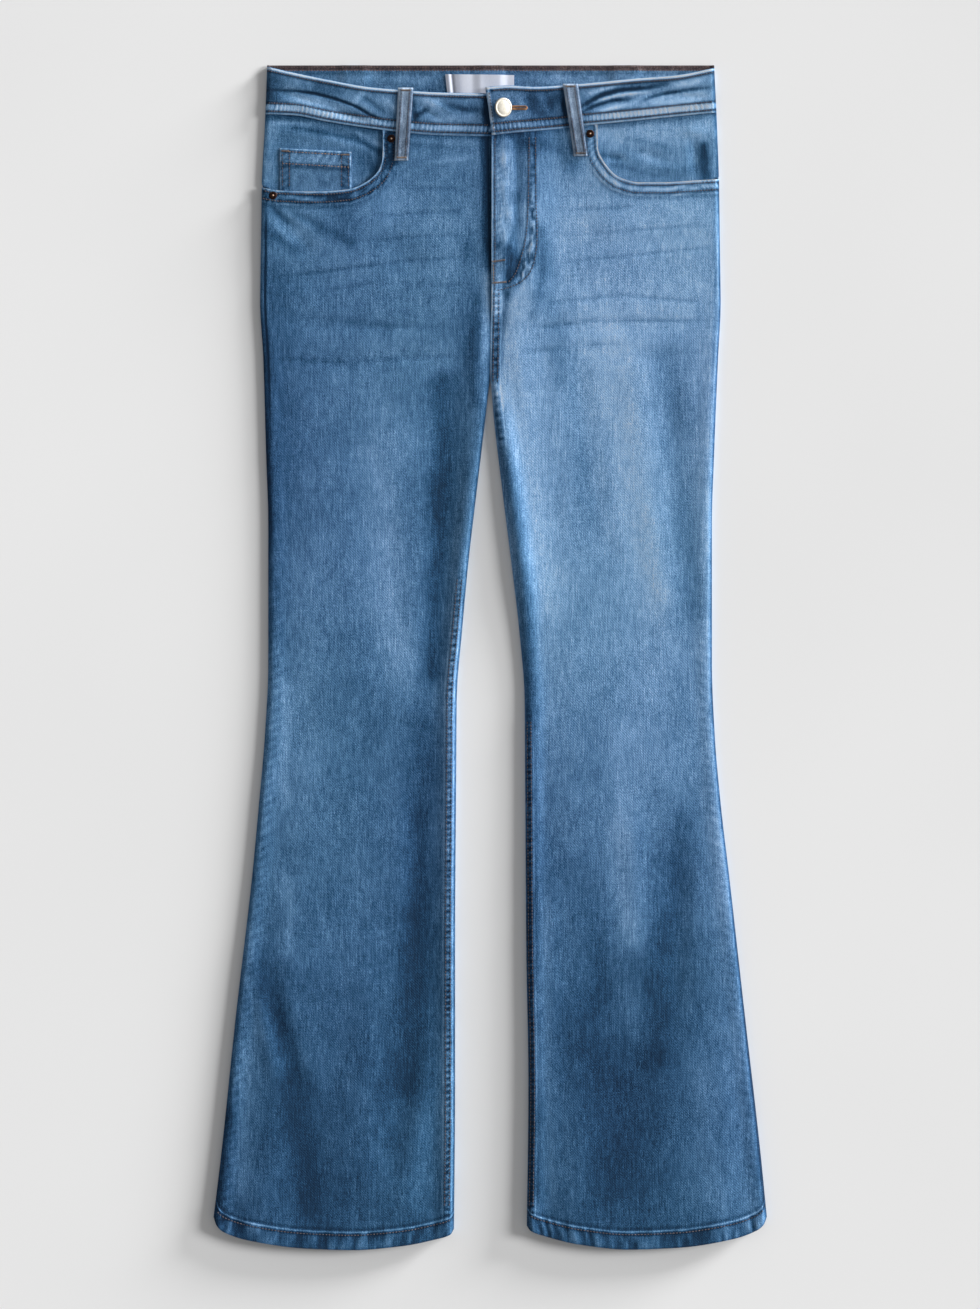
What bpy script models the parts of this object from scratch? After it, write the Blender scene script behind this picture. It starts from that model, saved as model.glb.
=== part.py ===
"""Flared five-pocket jeans, laid flat on their back with the front up.

The frame: +X runs to the viewer's right, which is the wearer's left, +Y runs up to the waist, +Z
up from the surface that the back rests on.  All sizes below are millimetres.  "down" is the distance from
the top of the back waistband towards the hems.  Sides are the wearer's.
"""

from bisect import bisect_right
from math import cos, exp, hypot, pi, radians, sin

import bpy

MM = 0.001

# Driving sizes
LENGTH = 1082.5        # top of the back waistband to the lowest point of the hems
GAP = 0.3              # between neighbouring pieces
DENIM = 1.2            # wall of a panel
BAND = 1.6             # wall of the waistband, two cloths thick
TRIM = 1.0             # wall of a patch, a loop or the label
ROLL = 5.0             # how far a rolled edge reaches in from the outline
ROLL_ANGLES = (0, 32, 62, 90)
CROTCH = 288.0         # down to where the four panels meet
TOP_ROW = 215.0        # down to the first level row below the pockets
HEM_DEPTH = 16.0
HEM_EXTRA = 0.5        # a hem is this much thicker than the panel
FLY_RAISE = 1.9        # how far the overlap of the fly stands over the other side
FLY_END = 205.0
BAND_RAISE = 0.4       # waistband over panel
PATCH_LIFT = TRIM + GAP

RIGHT, LEFT = -1, 1    # wearer's right lies at -X

# Outline of the legs: distance of each edge from the middle of the garment
LEG = {
    "down": (0, 52, 110, 215, 270, 356, 420, 548, 612, 676, 740, 869, 997, 1053),
    RIGHT: (204, 206, 209, 210.5, 207.5, 205, 203, 203, 206, 211.5, 217.5, 232.5, 246, 252.8),
    LEFT: (205, 207.5, 209.5, 211, 208.5, 205, 203, 203, 205.5, 211, 218.5, 233, 247.5, 253),
}
INSEAM = {
    "down": (288, 300, 325, 388, 452, 516, 580, 650, 805, 933, 1053),
    RIGHT: (0.15, 1.6, 4.5, 12, 19.5, 25.5, 30.5, 31, 32, 32, 33),
    LEFT: (0.15, 1.4, 3.6, 11, 19, 26.5, 31.5, 32, 33, 35, 33.5),
}
# Hem: how far it hangs below its outer corner, by share of the width from the outer edge
HEM = {
    "share": (0, 0.04, 0.14, 0.38, 0.58, 0.78, 0.94, 1),
    RIGHT: (0, 12.5, 21, 28.5, 30, 26.5, 19.5, 11),
    LEFT: (0, 11, 20, 28, 29.5, 25, 16.5, 8),
}
# Front waistband: its upper and lower edges, by distance out from the middle
FRONT_BAND = {
    RIGHT: {
        "out": (-30, 10, 50, 85, 112, 148, 180, 206),
        "top": (27, 26, 25, 22.5, 20, 13.5, 7, 1),
        "low": (65.5, 65, 64, 61, 57.5, 52, 46, 45),
    },
    LEFT: {
        "out": (-4.5, 17, 40, 66, 85, 106, 137, 170, 206.5),
        "top": (20.5, 19, 20, 18.5, 17, 15, 12, 9.5, 2.5),
        "low": (65, 62.5, 60.5, 58, 55.5, 53.5, 50.5, 47, 43.5),
    },
}
# Mouth of the front pocket, from the side seam to the waistband
MOUTH = {
    RIGHT: {"out": (209, 193, 159, 130, 112, 100.5, 98, 98), "down": (112, 115, 116, 114, 106.5, 94, 82, 60)},
    LEFT: {"out": (209.5, 184, 158, 136, 118.5, 106, 98.5, 98), "down": (104.5, 106, 107.5, 107.5, 103, 91.5, 75.5, 55)},
}
FRONT_HEIGHT = {"down": (0, 150, 240, 350, 500, 700, 900, 1060), "up": (6.3, 6.3, 5.7, 5.3, 5.4, 6.4, 7.8, 8.8)}
SEAM_HEIGHT = {"down": (0, 450, 800, 1060), "up": (3.0, 3.0, 4.6, 6.2)}    # of the side seams and inseams
# The flare stands fuller between its edges, which reach in this far
FLARE = {"down": (450, 750, 1060), "up": (0, 1.2, 3.0), "edge": 50.0}

# Creases: a soft trough (below 0) or ridge from one end to the other, by distance out and down
CREASE_COLUMNS = ("out0", "down0", "out1", "down1", "width", "rise")
CREASES = {
    RIGHT: (
        (204, 20, 165, 30, 6, -0.7),       # waistband, slanting
        (165, 30, 108, 56, 6, -0.9),
        (200, 134, 160, 176, 9, -0.8),     # from the rivet down
        (118, 152, 60, 186, 15, -0.6),     # below the pocket
        (200, 205, 20, 176, 9, -0.4),      # whiskers
        (205, 232, 60, 243, 9, -0.4),
        (170, 276, 30, 262, 10, -0.5),
        (9, 218, 14, 330, 9, 0.9),         # ridge, trough and ridge beside the crotch
        (34, 275, 49, 575, 13, -1.5),
        (88, 300, 64, 545, 22, 0.8),
        (150, 330, 130, 620, 26, 0.5),
        (68, 640, 65, 860, 12, -1.5),      # flutes of the flare, from the inseam out
        (66, 850, 90, 1010, 14, -1.3),
        (46, 873, 80, 1040, 12, 1.0),
        (114, 800, 118, 1060, 20, 0.9),
        (172, 940, 160, 1060, 24, -1.2),
        (208, 828, 172, 950, 10, -1.4),
        (215, 815, 197, 930, 8, 1.0),
    ),
    LEFT: (
        (204, 26, 150, 30, 6, -0.6),       # waistband, slanting
        (160, 18, 85, 42, 6, -0.8),
        (42, 140, 20, 205, 6, -0.8),       # beside the fly's curve
        (14, 190, 7, 262, 6, -0.8),        # beside the centre seam
        (40, 114, 125, 116, 10, -0.4),     # whiskers
        (35, 165, 200, 158, 10, -0.4),
        (30, 240, 190, 238, 8, -0.5),
        (60, 262, 200, 268, 10, -0.4),
        (22, 225, 46, 500, 13, 0.9),       # ridges and troughs of the thigh, from the inseam out
        (78, 262, 102, 455, 12, -0.5),
        (130, 250, 142, 380, 15, 0.8),
        (142, 370, 168, 530, 14, 0.9),
        (162, 262, 176, 420, 14, -0.8),
        (53, 715, 57, 1045, 10, 0.9),      # flutes of the flare, from the inseam out
        (87, 800, 138, 1030, 28, -1.1),
        (128, 660, 136, 815, 13, 1.0),
        (174, 700, 166, 885, 13, -1.4),
        (206, 763, 222, 1045, 16, 0.8),
    ),
}

# Patches and loops on the back, which the back is lifted over
BACK_POCKET = {"out": 108.0, "top": 126.0, "side": 246.0, "point": 262.0, "top_half": 72.0, "low_half": 64.0}
BACK_LOOPS = {"back_belt_loop_right": -124.0, "back_belt_loop_centre": 0.0, "back_belt_loop_left": 124.0}
LOOP_WIDTH = 12.0
LOOP_FADE = (8.0, 17.0)    # the lift over a loop, by distance from its middle: full to the first, none past the second
LOOP_BELOW_BAND = 23.0
YOKE_AT_SIDE = 78.0
YOKE_AT_CENTRE = 112.0

# Front trim, by distance out and down
FRONT_LOOPS = {RIGHT: (77.0, 81.0, 21.0, 87.5), LEFT: (73.5, 83.0, 17.5, 83.5)}   # out at top and foot, top, foot
COIN_POCKET = {"outer": 192.3, "inner": 127.0, "top_outer": 76.0, "top_inner": 79.5, "foot": 125.0}
FACING_TOP = 4.4
SHIELD_TOP = 4.0
LABEL = {"x0": -41.0, "x1": 22.0, "top": 9.0, "foot": 32.0}
BUTTON = {"x": 11.5, "down": 39.5, "radius": 8.8, "neck": 1.8, "tack": 4.5}
BUTTONHOLE_END = 32.0
RIVETS = {"rivet_1": (RIGHT, 90.3, 67.5), "rivet_2": (RIGHT, 198.5, 119.5), "rivet_3": (LEFT, 91.5, 63.0)}
RIVET_RADIUS = 3.6

# Colour, roughness and metallic value of each material
LOOKS = {
    "denim": ((0.13, 0.25, 0.42, 1), 0.9, 0.0),
    "denim_inside": ((0.19, 0.30, 0.42, 1), 0.9, 0.0),
    "satin": ((0.80, 0.79, 0.80, 1), 0.45, 0.0),
    "nickel": ((0.83, 0.80, 0.74, 1), 0.3, 1.0),
    "copper": ((0.22, 0.13, 0.09, 1), 0.45, 1.0),
    "zip_brass": ((0.45, 0.34, 0.16, 1), 0.4, 1.0),
}


# ---- lines and heights ----

def clamp(t):
    return max(0.0, min(1.0, t))


def ramp(value, start, end):
    """0 before start, 1 after end, smooth between them."""
    t = clamp((value - start) / (end - start))
    return t * t * (3 - 2 * t)


def mix(a, b, t):
    return a + (b - a) * t


def line(places, values, place):
    """Value at a place on the smooth line through (places, values), held level past its ends."""
    if place <= places[0]:
        return values[0]
    if place >= places[-1]:
        return values[-1]
    i = bisect_right(places, place) - 1

    def rate(j):
        return (values[j + 1] - values[j]) / (places[j + 1] - places[j])

    def slope(j):
        if j in (0, len(places) - 1):
            return rate(min(j, len(places) - 2))
        before, after = rate(j - 1), rate(j)
        return 0.0 if before * after <= 0 else 2 * before * after / (before + after)

    span = places[i + 1] - places[i]
    t = (place - places[i]) / span
    a = (1 + 2 * t) * (1 - t) ** 2 * values[i] + t * t * (3 - 2 * t) * values[i + 1]
    return a + span * (t * (1 - t) ** 2 * slope(i) - t * t * (1 - t) * slope(i + 1))


def outer_edge(side, down):
    return line(LEG["down"], LEG[side], down)


def centre_front(down):
    """X of the front edge of the left panel above the crotch."""
    return line((60, 200, 264, CROTCH), (1.5, 1.5, 0.5, 0.15), down)


def front_inner_edge(side, down):
    """Distance out of a front panel's inner edge: the fly, the centre seam, then the inseam."""
    if down >= CROTCH:
        return line(INSEAM["down"], INSEAM[side], down)
    if side == LEFT:
        return centre_front(down)
    fly_gap = 3.2 * (1 - ramp(down, FLY_END - 10, FLY_END + 10))
    return GAP + fly_gap - centre_front(down)


def back_inner_edge(side, down):
    return line(INSEAM["down"], INSEAM[side], down)


def creases(side, out, down):
    total = 0.0
    for row in CREASES[side]:
        c = dict(zip(CREASE_COLUMNS, row))
        dx, dy = c["out1"] - c["out0"], c["down1"] - c["down0"]
        length = hypot(dx, dy)
        along = ((out - c["out0"]) * dx + (down - c["down0"]) * dy) / length
        across = ((out - c["out0"]) * dy - (down - c["down0"]) * dx) / length
        fade = min(0.35 * length, 60.0)
        share = ramp(along, -0.3 * fade, fade) * (1 - ramp(along, length - fade, length + 0.3 * fade))
        total += c["rise"] * share * exp(-((across / c["width"]) ** 2))
    return total


def front_up(side, out, down):
    """Height of the front's outer face over the surface."""
    up = line(FRONT_HEIGHT["down"], FRONT_HEIGHT["up"], down) + creases(side, out, down)
    from_side = outer_edge(side, down) - out
    up += 0.6 * exp(-(((from_side - 7) / 7) ** 2)) * ramp(down, 210, 300)
    from_inseam = out - back_inner_edge(side, down)
    up += line(FLARE["down"], FLARE["up"], down) * ramp(min(from_side, from_inseam), 4, FLARE["edge"])
    up += 1.9 * exp(-(((from_inseam - 7) / 8) ** 2)) * ramp(down, CROTCH - 20, 430)
    up += 0.9 * ramp(out, 80, 110) * ramp(down, 70, 95) * (1 - ramp(down, 140, 200))
    if side == LEFT:
        up += FLY_RAISE * (1 - ramp(out, 36, 66)) * (1 - ramp(down, FLY_END, FLY_END + 45))
    return up


def back_up(x, down):
    """Height of the back's outer face: on the surface, but for what lies under it."""
    pocket = 1 - ramp(abs(abs(x) - BACK_POCKET["out"]), BACK_POCKET["top_half"] + 20, BACK_POCKET["top_half"] + 32)
    pocket *= ramp(down, BACK_POCKET["top"] - 32, BACK_POCKET["top"] - 22)
    pocket *= 1 - ramp(down, BACK_POCKET["point"] + 10, BACK_POCKET["point"] + 24)
    loops = max(1 - ramp(abs(x - at), *LOOP_FADE) for at in BACK_LOOPS.values())
    loops *= 1 - ramp(down - back_band_low(x) - LOOP_BELOW_BAND, 14, 26)
    return PATCH_LIFT * max(pocket, loops)


def back_band_low(x):
    return 41.0 + 3.5 * (x / 206.0) ** 2


def yoke_seam(x):
    return mix(YOKE_AT_CENTRE, YOKE_AT_SIDE, abs(x) / 209.0)


# ---- walls ----

def material(name):
    if name in bpy.data.materials:
        return bpy.data.materials[name]
    colour, roughness, metallic = LOOKS[name]
    made = bpy.data.materials.new(name)
    made.use_nodes = True
    shader = made.node_tree.nodes["Principled BSDF"]
    shader.inputs["Base Color"].default_value = colour
    shader.inputs["Roughness"].default_value = roughness
    shader.inputs["Metallic"].default_value = metallic
    made.diffuse_color = colour
    return made


def add_object(name, points, faces, look, smooth=True):
    """points are (x, down, up)."""
    mesh = bpy.data.meshes.new(name)
    placed = [(x * MM, (LENGTH / 2 - down) * MM, up * MM) for x, down, up in points]
    mesh.from_pydata(placed, [], faces)
    mesh.materials.append(material(look))
    mesh.validate()
    if smooth:
        mesh.shade_smooth()
        mesh.set_sharp_from_angle(angle=radians(40))
    obj = bpy.data.objects.new(name, mesh)
    bpy.context.collection.objects.link(obj)
    return obj


def wall(name, outer, inner, look, front=True, holes=()):
    """Closed wall between two grids of points, rimmed round its border and round each cell in holes.

    outer is the face that shows: the upper one on the front, the lower one on the back.
    """
    rows, columns = len(outer), len(outer[0])
    kept = [(r, c) for r in range(rows - 1) for c in range(columns - 1) if (r, c) not in holes]
    faces, edges = [], {}
    under = rows * columns
    for r, c in kept:
        a, b, d, e = r * columns + c, r * columns + c + 1, (r + 1) * columns + c + 1, (r + 1) * columns + c
        for corners in ((a, b, d), (a, d, e)):
            faces.append(corners)
            faces.append(tuple(under + k for k in reversed(corners)))
        for start, end in ((a, b), (b, d), (d, e), (e, a)):
            if (end, start) in edges:
                del edges[(end, start)]
            else:
                edges[(start, end)] = True
    for start, end in edges:
        faces.append((end, start, under + start))
        faces.append((end, under + start, under + end))
    points = [p for row in outer for p in row] + [p for row in inner for p in row]
    used = sorted({k for face in faces for k in face})
    place = {k: i for i, k in enumerate(used)}
    points = [points[k] for k in used]
    faces = [tuple(place[k] for k in face) for face in faces]
    # The first row's direction against the rows' order gives which way the grid faces.
    (x0, y0, _), (x1, y1, _), (x2, y2, _) = outer[0][0], outer[0][-1], outer[-1][0]
    turned = (x1 - x0) * (y2 - y0) - (y1 - y0) * (x2 - x0) > 0
    if turned == front:
        faces = [tuple(reversed(face)) for face in faces]
    return add_object(name, points, faces, look)


def roll_inset(step, thick):
    """How much further in a wall's inner face lies than its outer one, on a column of a rolled edge."""
    angle = radians(ROLL_ANGLES[step])
    return ROLL - (ROLL - thick) * cos(angle) - ROLL * (1 - cos(angle))


def roll_up(step, up, down, above=GAP / 2):
    """Height on a column of an edge that is rolled from up into the seam, which it meets that far above it."""
    seam = line(SEAM_HEIGHT["down"], SEAM_HEIGHT["up"], down) + above
    return mix(seam, up, sin(radians(ROLL_ANGLES[step])))


def rolled(rows, edges, up_out, up_in, above):
    """Outer and inner grids of a panel from its rows.

    Each row is (place, length, distances): place(distance) gives (x, down), and distances run from one edge
    to the other.  edges gives for each row how far its two edges are rolled into the seam, from 0, cut, to 1;
    they meet it that far above it.
    """
    count = len(ROLL_ANGLES)
    outer, inner = [], []
    for (place, length, distances), (first, last) in zip(rows, edges):
        out_row, in_row = [], []
        for k, distance in enumerate(distances):
            from_end = len(distances) - 1 - k
            step, share = (k, first) if k < count else (from_end, last)
            x, down = place(distance)
            top, low = up_out(x, down), up_in(x, down)
            in_x, in_down = x, down
            if step < count:
                shift = roll_inset(step, abs(top - low)) * share
                in_x, in_down = place(distance + (shift if k < count else -shift))
                top = mix(top, roll_up(step, top, down, above), share)
                low = mix(low, roll_up(step, low, down, above), share)
            out_row.append((x, down, top))
            in_row.append((in_x, in_down, low))
        outer.append(out_row)
        inner.append(in_row)
    return outer, inner


def distances(length, corner, before, after, roll=ROLL):
    """Columns of a row: the rolled edge, steps to the corner, steps on, the other rolled edge."""
    near = [roll * (1 - cos(radians(a))) for a in ROLL_ANGLES]
    first = [mix(roll, corner, (i + 1) / before) for i in range(before)]
    second = [mix(corner, length - roll, (i + 1) / after) for i in range(after - 1)]
    return near + first + second + [length - d for d in reversed(near)]


def path(points):
    """place(distance) along the smooth line through points, and its length."""
    reach = [0.0]
    for (x0, y0), (x1, y1) in zip(points, points[1:]):
        reach.append(reach[-1] + hypot(x1 - x0, y1 - y0))
    xs, ys = [p[0] for p in points], [p[1] for p in points]
    return (lambda distance: (line(reach, xs, distance), line(reach, ys, distance))), reach[-1]


# ---- panels ----

def leg_row(side, down, inner_edge):
    """A row across a leg from its outer edge in, bowed as the hem is near the foot."""
    far, near = outer_edge(side, down), inner_edge(side, down)
    length = far - near
    bow = ramp(down, 860, HEM_FOOT)

    def place(distance):
        share = distance / length
        drop = line(HEM["share"], HEM[side], share)
        return side * mix(far, near, share), down + bow * drop
    return place, length


HEM_FOOT = LEG["down"][-1]
HEM_TOP = HEM_FOOT - HEM_DEPTH
LEG_ROWS = (TOP_ROW, 245, 272, CROTCH, 300, 325, 360, 400, 440, 480, 525, 570, 615, 660, 705, 750, 795, 840, 885,
            930, 970, 1005, HEM_TOP - 2, HEM_TOP, HEM_FOOT)


def between(upper, lower, share, columns):
    """A row part of the way from one row to another, column by column."""
    (place0, _, at0), (place1, _, at1) = upper, lower
    points = [tuple(mix(p, q, share) for p, q in zip(place0(a), place1(b))) for a, b in zip(at0, at1)]
    return polyline(points)


def polyline(points):
    """A row whose columns are these points; between them it is straight."""
    reach = [0.0]
    for (x0, y0), (x1, y1) in zip(points, points[1:]):
        reach.append(reach[-1] + hypot(x1 - x0, y1 - y0))

    def place(distance):
        k = min(max(bisect_right(reach, distance) - 1, 0), len(points) - 2)
        t = (distance - reach[k]) / (reach[k + 1] - reach[k])
        return tuple(mix(p, q, t) for p, q in zip(points[k], points[k + 1]))
    return place, reach[-1], reach


def front_panel(side):
    """From the pocket mouth and the waistband down to the hem; the left one carries the fly's overlap."""
    name = "front_panel_right" if side == RIGHT else "front_panel_left"
    before, after = 12, 6
    mouth = MOUTH[side]
    corner_out = mouth["out"][-1]
    points = [(side * out, down) for out, down in zip(mouth["out"][:-1], mouth["down"][:-1])]
    points.append((side * corner_out, band_edges(side, corner_out)[1] + GAP))
    corner = path(points)[1]
    inner_edge = front_inner_edge(side, points[-1][1])
    for share in (0.25, 0.5, 0.75, 1.0):
        out = mix(corner_out, inner_edge, share)
        points.append((side * out, band_edges(side, out)[1] + GAP))
    place, length = path(points)
    top = (place, length, distances(length, corner, before, after))
    rows, edges = [], []
    first_place, first_length = leg_row(side, TOP_ROW, front_inner_edge)
    first = (first_place, first_length, distances(first_length, 0.56 * first_length, before, after))
    for share in (0, 0.09, 0.25, 0.43, 0.62, 0.81):
        rows.append(between(top, first, share, before + after))
        edges.append((1.0, 0.0))
    for down in LEG_ROWS:
        row_place, row_length = leg_row(side, down, front_inner_edge)
        rows.append((row_place, row_length, distances(row_length, 0.56 * row_length, before, after)))
        edges.append((1.0, ramp(down, CROTCH - 16, CROTCH + 13)))

    def up_out(x, down):
        return front_up(side, side * x, down)
    outer, inner = rolled(rows, edges, up_out, lambda x, down: up_out(x, down) - DENIM, GAP / 2)
    thicken_hem(outer)
    return wall(name, outer, inner, "denim")


def thicken_hem(grid):
    """Raises the rows of the hem, between the rolled edges."""
    first = len(grid) - len(LEG_ROWS)
    for k, down in enumerate(LEG_ROWS):
        if down >= HEM_TOP:
            row = grid[first + k]
            for c in range(len(ROLL_ANGLES) - 1, len(row) - len(ROLL_ANGLES) + 1):
                x, y, up = row[c]
                row[c] = (x, y, up + HEM_EXTRA)


def back_panel(side):
    """From the yoke down to the hem, flat on the surface but for its pocket."""
    name = "back_panel_right" if side == RIGHT else "back_panel_left"
    before, after = 6, 5
    far = outer_edge(side, YOKE_AT_SIDE)
    points = [(side * o, yoke_seam(o) + GAP) for o in (far, 160, 108, 55, back_inner_edge(side, CROTCH))]
    place, length = path(points)
    top = (place, length, distances(length, 0.5 * length, before, after))
    first_place, first_length = leg_row(side, TOP_ROW, back_inner_edge)
    first = (first_place, first_length, distances(first_length, 0.5 * first_length, before, after))
    rows, edges = [], []
    for share in (0, 0.2, 0.4, 0.6, 0.8):
        rows.append(between(top, first, share, before + after))
        edges.append((1.0, 0.0))
    for down in LEG_ROWS:
        row_place, row_length = leg_row(side, down, back_inner_edge)
        rows.append((row_place, row_length, distances(row_length, 0.5 * row_length, before, after)))
        edges.append((1.0, ramp(down, CROTCH - 16, CROTCH + 13)))
    outer, inner = rolled(rows, edges, back_up, lambda x, down: back_up(x, down) + DENIM, -GAP / 2)
    thicken_hem(inner)
    return wall(name, outer, inner, "denim", front=False)


def back_stops():
    """Distances out of the columns that fit the back's belt loops."""
    middle, side = 0.0, BACK_LOOPS["back_belt_loop_left"]
    near, far = LOOP_FADE
    return (side + far + 25, side + far, side + near, side - near, side - far, 80, 48, middle + far, middle + near)


def row_through(points):
    """A row whose columns are the given points, with the columns of a rolled edge before the first two."""
    (x0, d0), (x1, d1) = points[:2]
    length = hypot(x1 - x0, d1 - d0)
    rolls = []
    for angle in ROLL_ANGLES:
        t = ROLL * (1 - cos(radians(angle))) / length
        rolls.append((mix(x0, x1, t), mix(d0, d1, t)))
    return rolls + list(points[1:])


def back_yoke(side):
    name = "back_yoke_right" if side == RIGHT else "back_yoke_left"
    rows, edges = [], []
    for share in (0, 0.33, 0.67, 1):
        far = outer_edge(side, mix(back_band_low(206), YOKE_AT_SIDE, share))
        points = []
        for out in (far,) + back_stops() + (5, 4, 3, GAP / 2):
            points.append((side * out, mix(back_band_low(out) + GAP, yoke_seam(out), share)))
        rows.append(polyline(row_through(points)))
        edges.append((1.0, 0.0))
    outer, inner = rolled(rows, edges, back_up, lambda x, down: back_up(x, down) + DENIM, -GAP / 2)
    return wall(name, outer, inner, "denim", front=False)


def waistband_back():
    rows, edges = [], []
    for share in (0, 0.5, 1):
        down0 = share * back_band_low(206)
        halves = []
        for side in (RIGHT, LEFT):
            outs = (outer_edge(side, down0),) + back_stops()
            halves.append(row_through([(side * out, share * back_band_low(out)) for out in outs]))
        rows.append(polyline(halves[0] + halves[1][::-1]))
        edges.append((1.0, 1.0))
    outer, inner = rolled(rows, edges, back_up, lambda x, down: back_up(x, down) + BAND, -GAP / 2)
    return wall("waistband_back", outer, inner, "denim", front=False)


def band_edges(side, out):
    """How far down the front waistband's upper and lower edges lie at a distance out."""
    band = FRONT_BAND[side]
    return line(band["out"], band["top"], out), line(band["out"], band["low"], out)


def waistband_front(side):
    """The right one runs on under the fly and carries the button; the left one laps over it."""
    name = "waistband_front_right" if side == RIGHT else "waistband_front_left"
    band, x = FRONT_BAND[side], BUTTON["x"]
    if side == RIGHT:
        half, hole = 2.6, (-(x + 2.6), -(x - 2.6))
        stops = (-29.5,) + hole + (20, 50, 80, 110, 140, 170)
    else:
        half, hole = 2.4, (x - 2.4, BUTTONHOLE_END)
        stops = (band["out"][0],) + hole + (50, 74, 100, 130, 158, 182)

    def level(at_hole, settled):
        """Share of the band's depth at a distance out: through the hole's edge, then an even share."""
        def share(out):
            top, low = band_edges(side, out)
            return mix((at_hole - top) / (low - top), settled, ramp(out, 45, 80))
        return share
    middle = BUTTON["down"]
    levels = (lambda out: 0.0, level(middle - half, 0.36), level(middle + half, 0.62), lambda out: 1.0)
    outer, inner = [], []
    for share in levels:
        outs = list(stops)
        if side == LEFT:
            outs[0] = mix(band["out"][0], centre_front(0), share(outs[0]))
        far = outer_edge(side, mix(band["top"][-1], band["low"][-1], share(outs[-1])))
        outs += [far - ROLL * (1 - cos(radians(angle))) for angle in reversed(ROLL_ANGLES)]
        out_row, in_row = [], []
        for k, out in enumerate(outs):
            down = mix(*band_edges(side, out), share(out))
            up = front_up(side, out, down) + BAND_RAISE
            low, in_out = up - BAND, out
            step = len(outs) - 1 - k
            if step < len(ROLL_ANGLES):
                in_out = out - roll_inset(step, BAND)
                up, low = roll_up(step, up, down), roll_up(step, low, down)
            out_row.append((side * out, down, up))
            in_row.append((side * in_out, down, low))
        outer.append(out_row)
        inner.append(in_row)
    return wall(name, outer, inner, "denim", holes={(1, stops.index(hole[0]))})


# ---- pieces that lie on or under the panels ----

def sheet(name, corners, size, up_in, thick, look, front=True):
    """A wall over a patch of the plan.  corners(u, v) gives (x, down); up_in is its lower face."""
    rows = [[corners(c / size[0], r / size[1]) for c in range(size[0] + 1)] for r in range(size[1] + 1)]
    low = [[(x, down, up_in(x, down)) for x, down in row] for row in rows]
    high = [[(x, down, up + thick) for x, down, up in row] for row in low]
    return wall(name, high, low, look) if front else wall(name, low, high, look, front=False)


def facing_up(out, down):
    return FACING_TOP + 0.6 * (1 - ramp(down, 58, 80)) * ramp(out, 110, 130)


def pocket_facing(side):
    """Shows inside the pocket mouth, from the waistband and the side seam, and runs on under the panel."""
    name = "pocket_facing_right" if side == RIGHT else "pocket_facing_left"
    mouth_end = MOUTH[side]["down"][0] - 1.6
    near = 82.0                               # its inner edge, under the panel
    foot_out = (near, 100, 125, 160, 203)
    foot_down = tuple(mouth_end + d for d in (-26, 4, 16, 18, 14))
    levels = (0, 66, 84, 98, mouth_end - 3, mouth_end, mouth_end + 5, foot_down[-1])
    # Past the mouth's end the side edge draws in, to lie inside the panel's.
    drawn_in = (0, 0, 0, 0, 0, DENIM + 0.6, ROLL + 1.8, ROLL + 1.8)
    columns = 8
    outer, inner = [], []
    for k, (level, inset) in enumerate(zip(levels, drawn_in)):
        far = outer_edge(side, max(level, 50)) - inset
        outs = [far - ROLL * (1 - cos(radians(angle))) for angle in ROLL_ANGLES]
        outs += [mix(far - ROLL, near, (i + 1) / columns) for i in range(columns)]
        out_row, in_row = [], []
        for step, out in enumerate(outs):
            even = mix(band_edges(side, out)[1] + GAP, line(foot_out, foot_down, out), k / (len(levels) - 1))
            at_side = even if k == 0 else level
            down = mix(at_side, even, ramp(out, 190, 140))
            up = facing_up(out, down)
            low, in_out = up - DENIM, out
            if step < len(ROLL_ANGLES) and inset < ROLL:
                in_out = out - roll_inset(step, DENIM)
                up, low = roll_up(step, up, down), roll_up(step, low, down)
            out_row.append((side * out, down, up))
            in_row.append((side * in_out, down, low))
        outer.append(out_row)
        inner.append(in_row)
    return wall(name, outer, inner, "denim")


def coin_pocket():
    """On the right facing; its foot runs on under the front panel."""
    c = COIN_POCKET

    def corners(u, v):
        out = mix(c["outer"], c["inner"], u)
        return RIGHT * out, mix(mix(c["top_outer"], c["top_inner"], u), c["foot"] - 3 * (1 - u), v)
    return sheet("coin_pocket", corners, (6, 6), lambda x, down: facing_up(-x, down) + GAP, TRIM, "denim")


def back_pocket(side):
    name = "back_pocket_right" if side == RIGHT else "back_pocket_left"
    p = BACK_POCKET

    def corners(u, v):
        half = mix(p["top_half"], p["low_half"], v)
        foot = mix(p["side"], p["point"], 1 - abs(2 * u - 1))
        return side * p["out"] + half * (2 * u - 1), mix(p["top"], foot, v)
    return sheet(name, corners, (6, 5), lambda x, down: 0.0, TRIM, "denim", front=False)


def back_belt_loop(name, at):
    def corners(u, v):
        return at + LOOP_WIDTH * (u - 0.5), mix(0.5, back_band_low(at) + LOOP_BELOW_BAND, v)
    return sheet(name, corners, (2, 4), lambda x, down: 0.0, TRIM, "denim", front=False)


def front_belt_loop(side):
    name = "front_belt_loop_right" if side == RIGHT else "front_belt_loop_left"
    out_top, out_foot, top, foot = FRONT_LOOPS[side]

    def corners(u, v):
        return side * (mix(out_top, out_foot, v) + LOOP_WIDTH * (u - 0.5)), mix(top, foot, v)

    def up_in(x, down):
        low = line(FRONT_BAND[side]["out"], FRONT_BAND[side]["low"], side * x)
        return front_up(side, side * x, down) + GAP + BAND_RAISE * (1 - ramp(down, low + 2, low + 10)) + 0.1
    return sheet(name, corners, (3, 14), up_in, DENIM, "denim")


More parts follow.
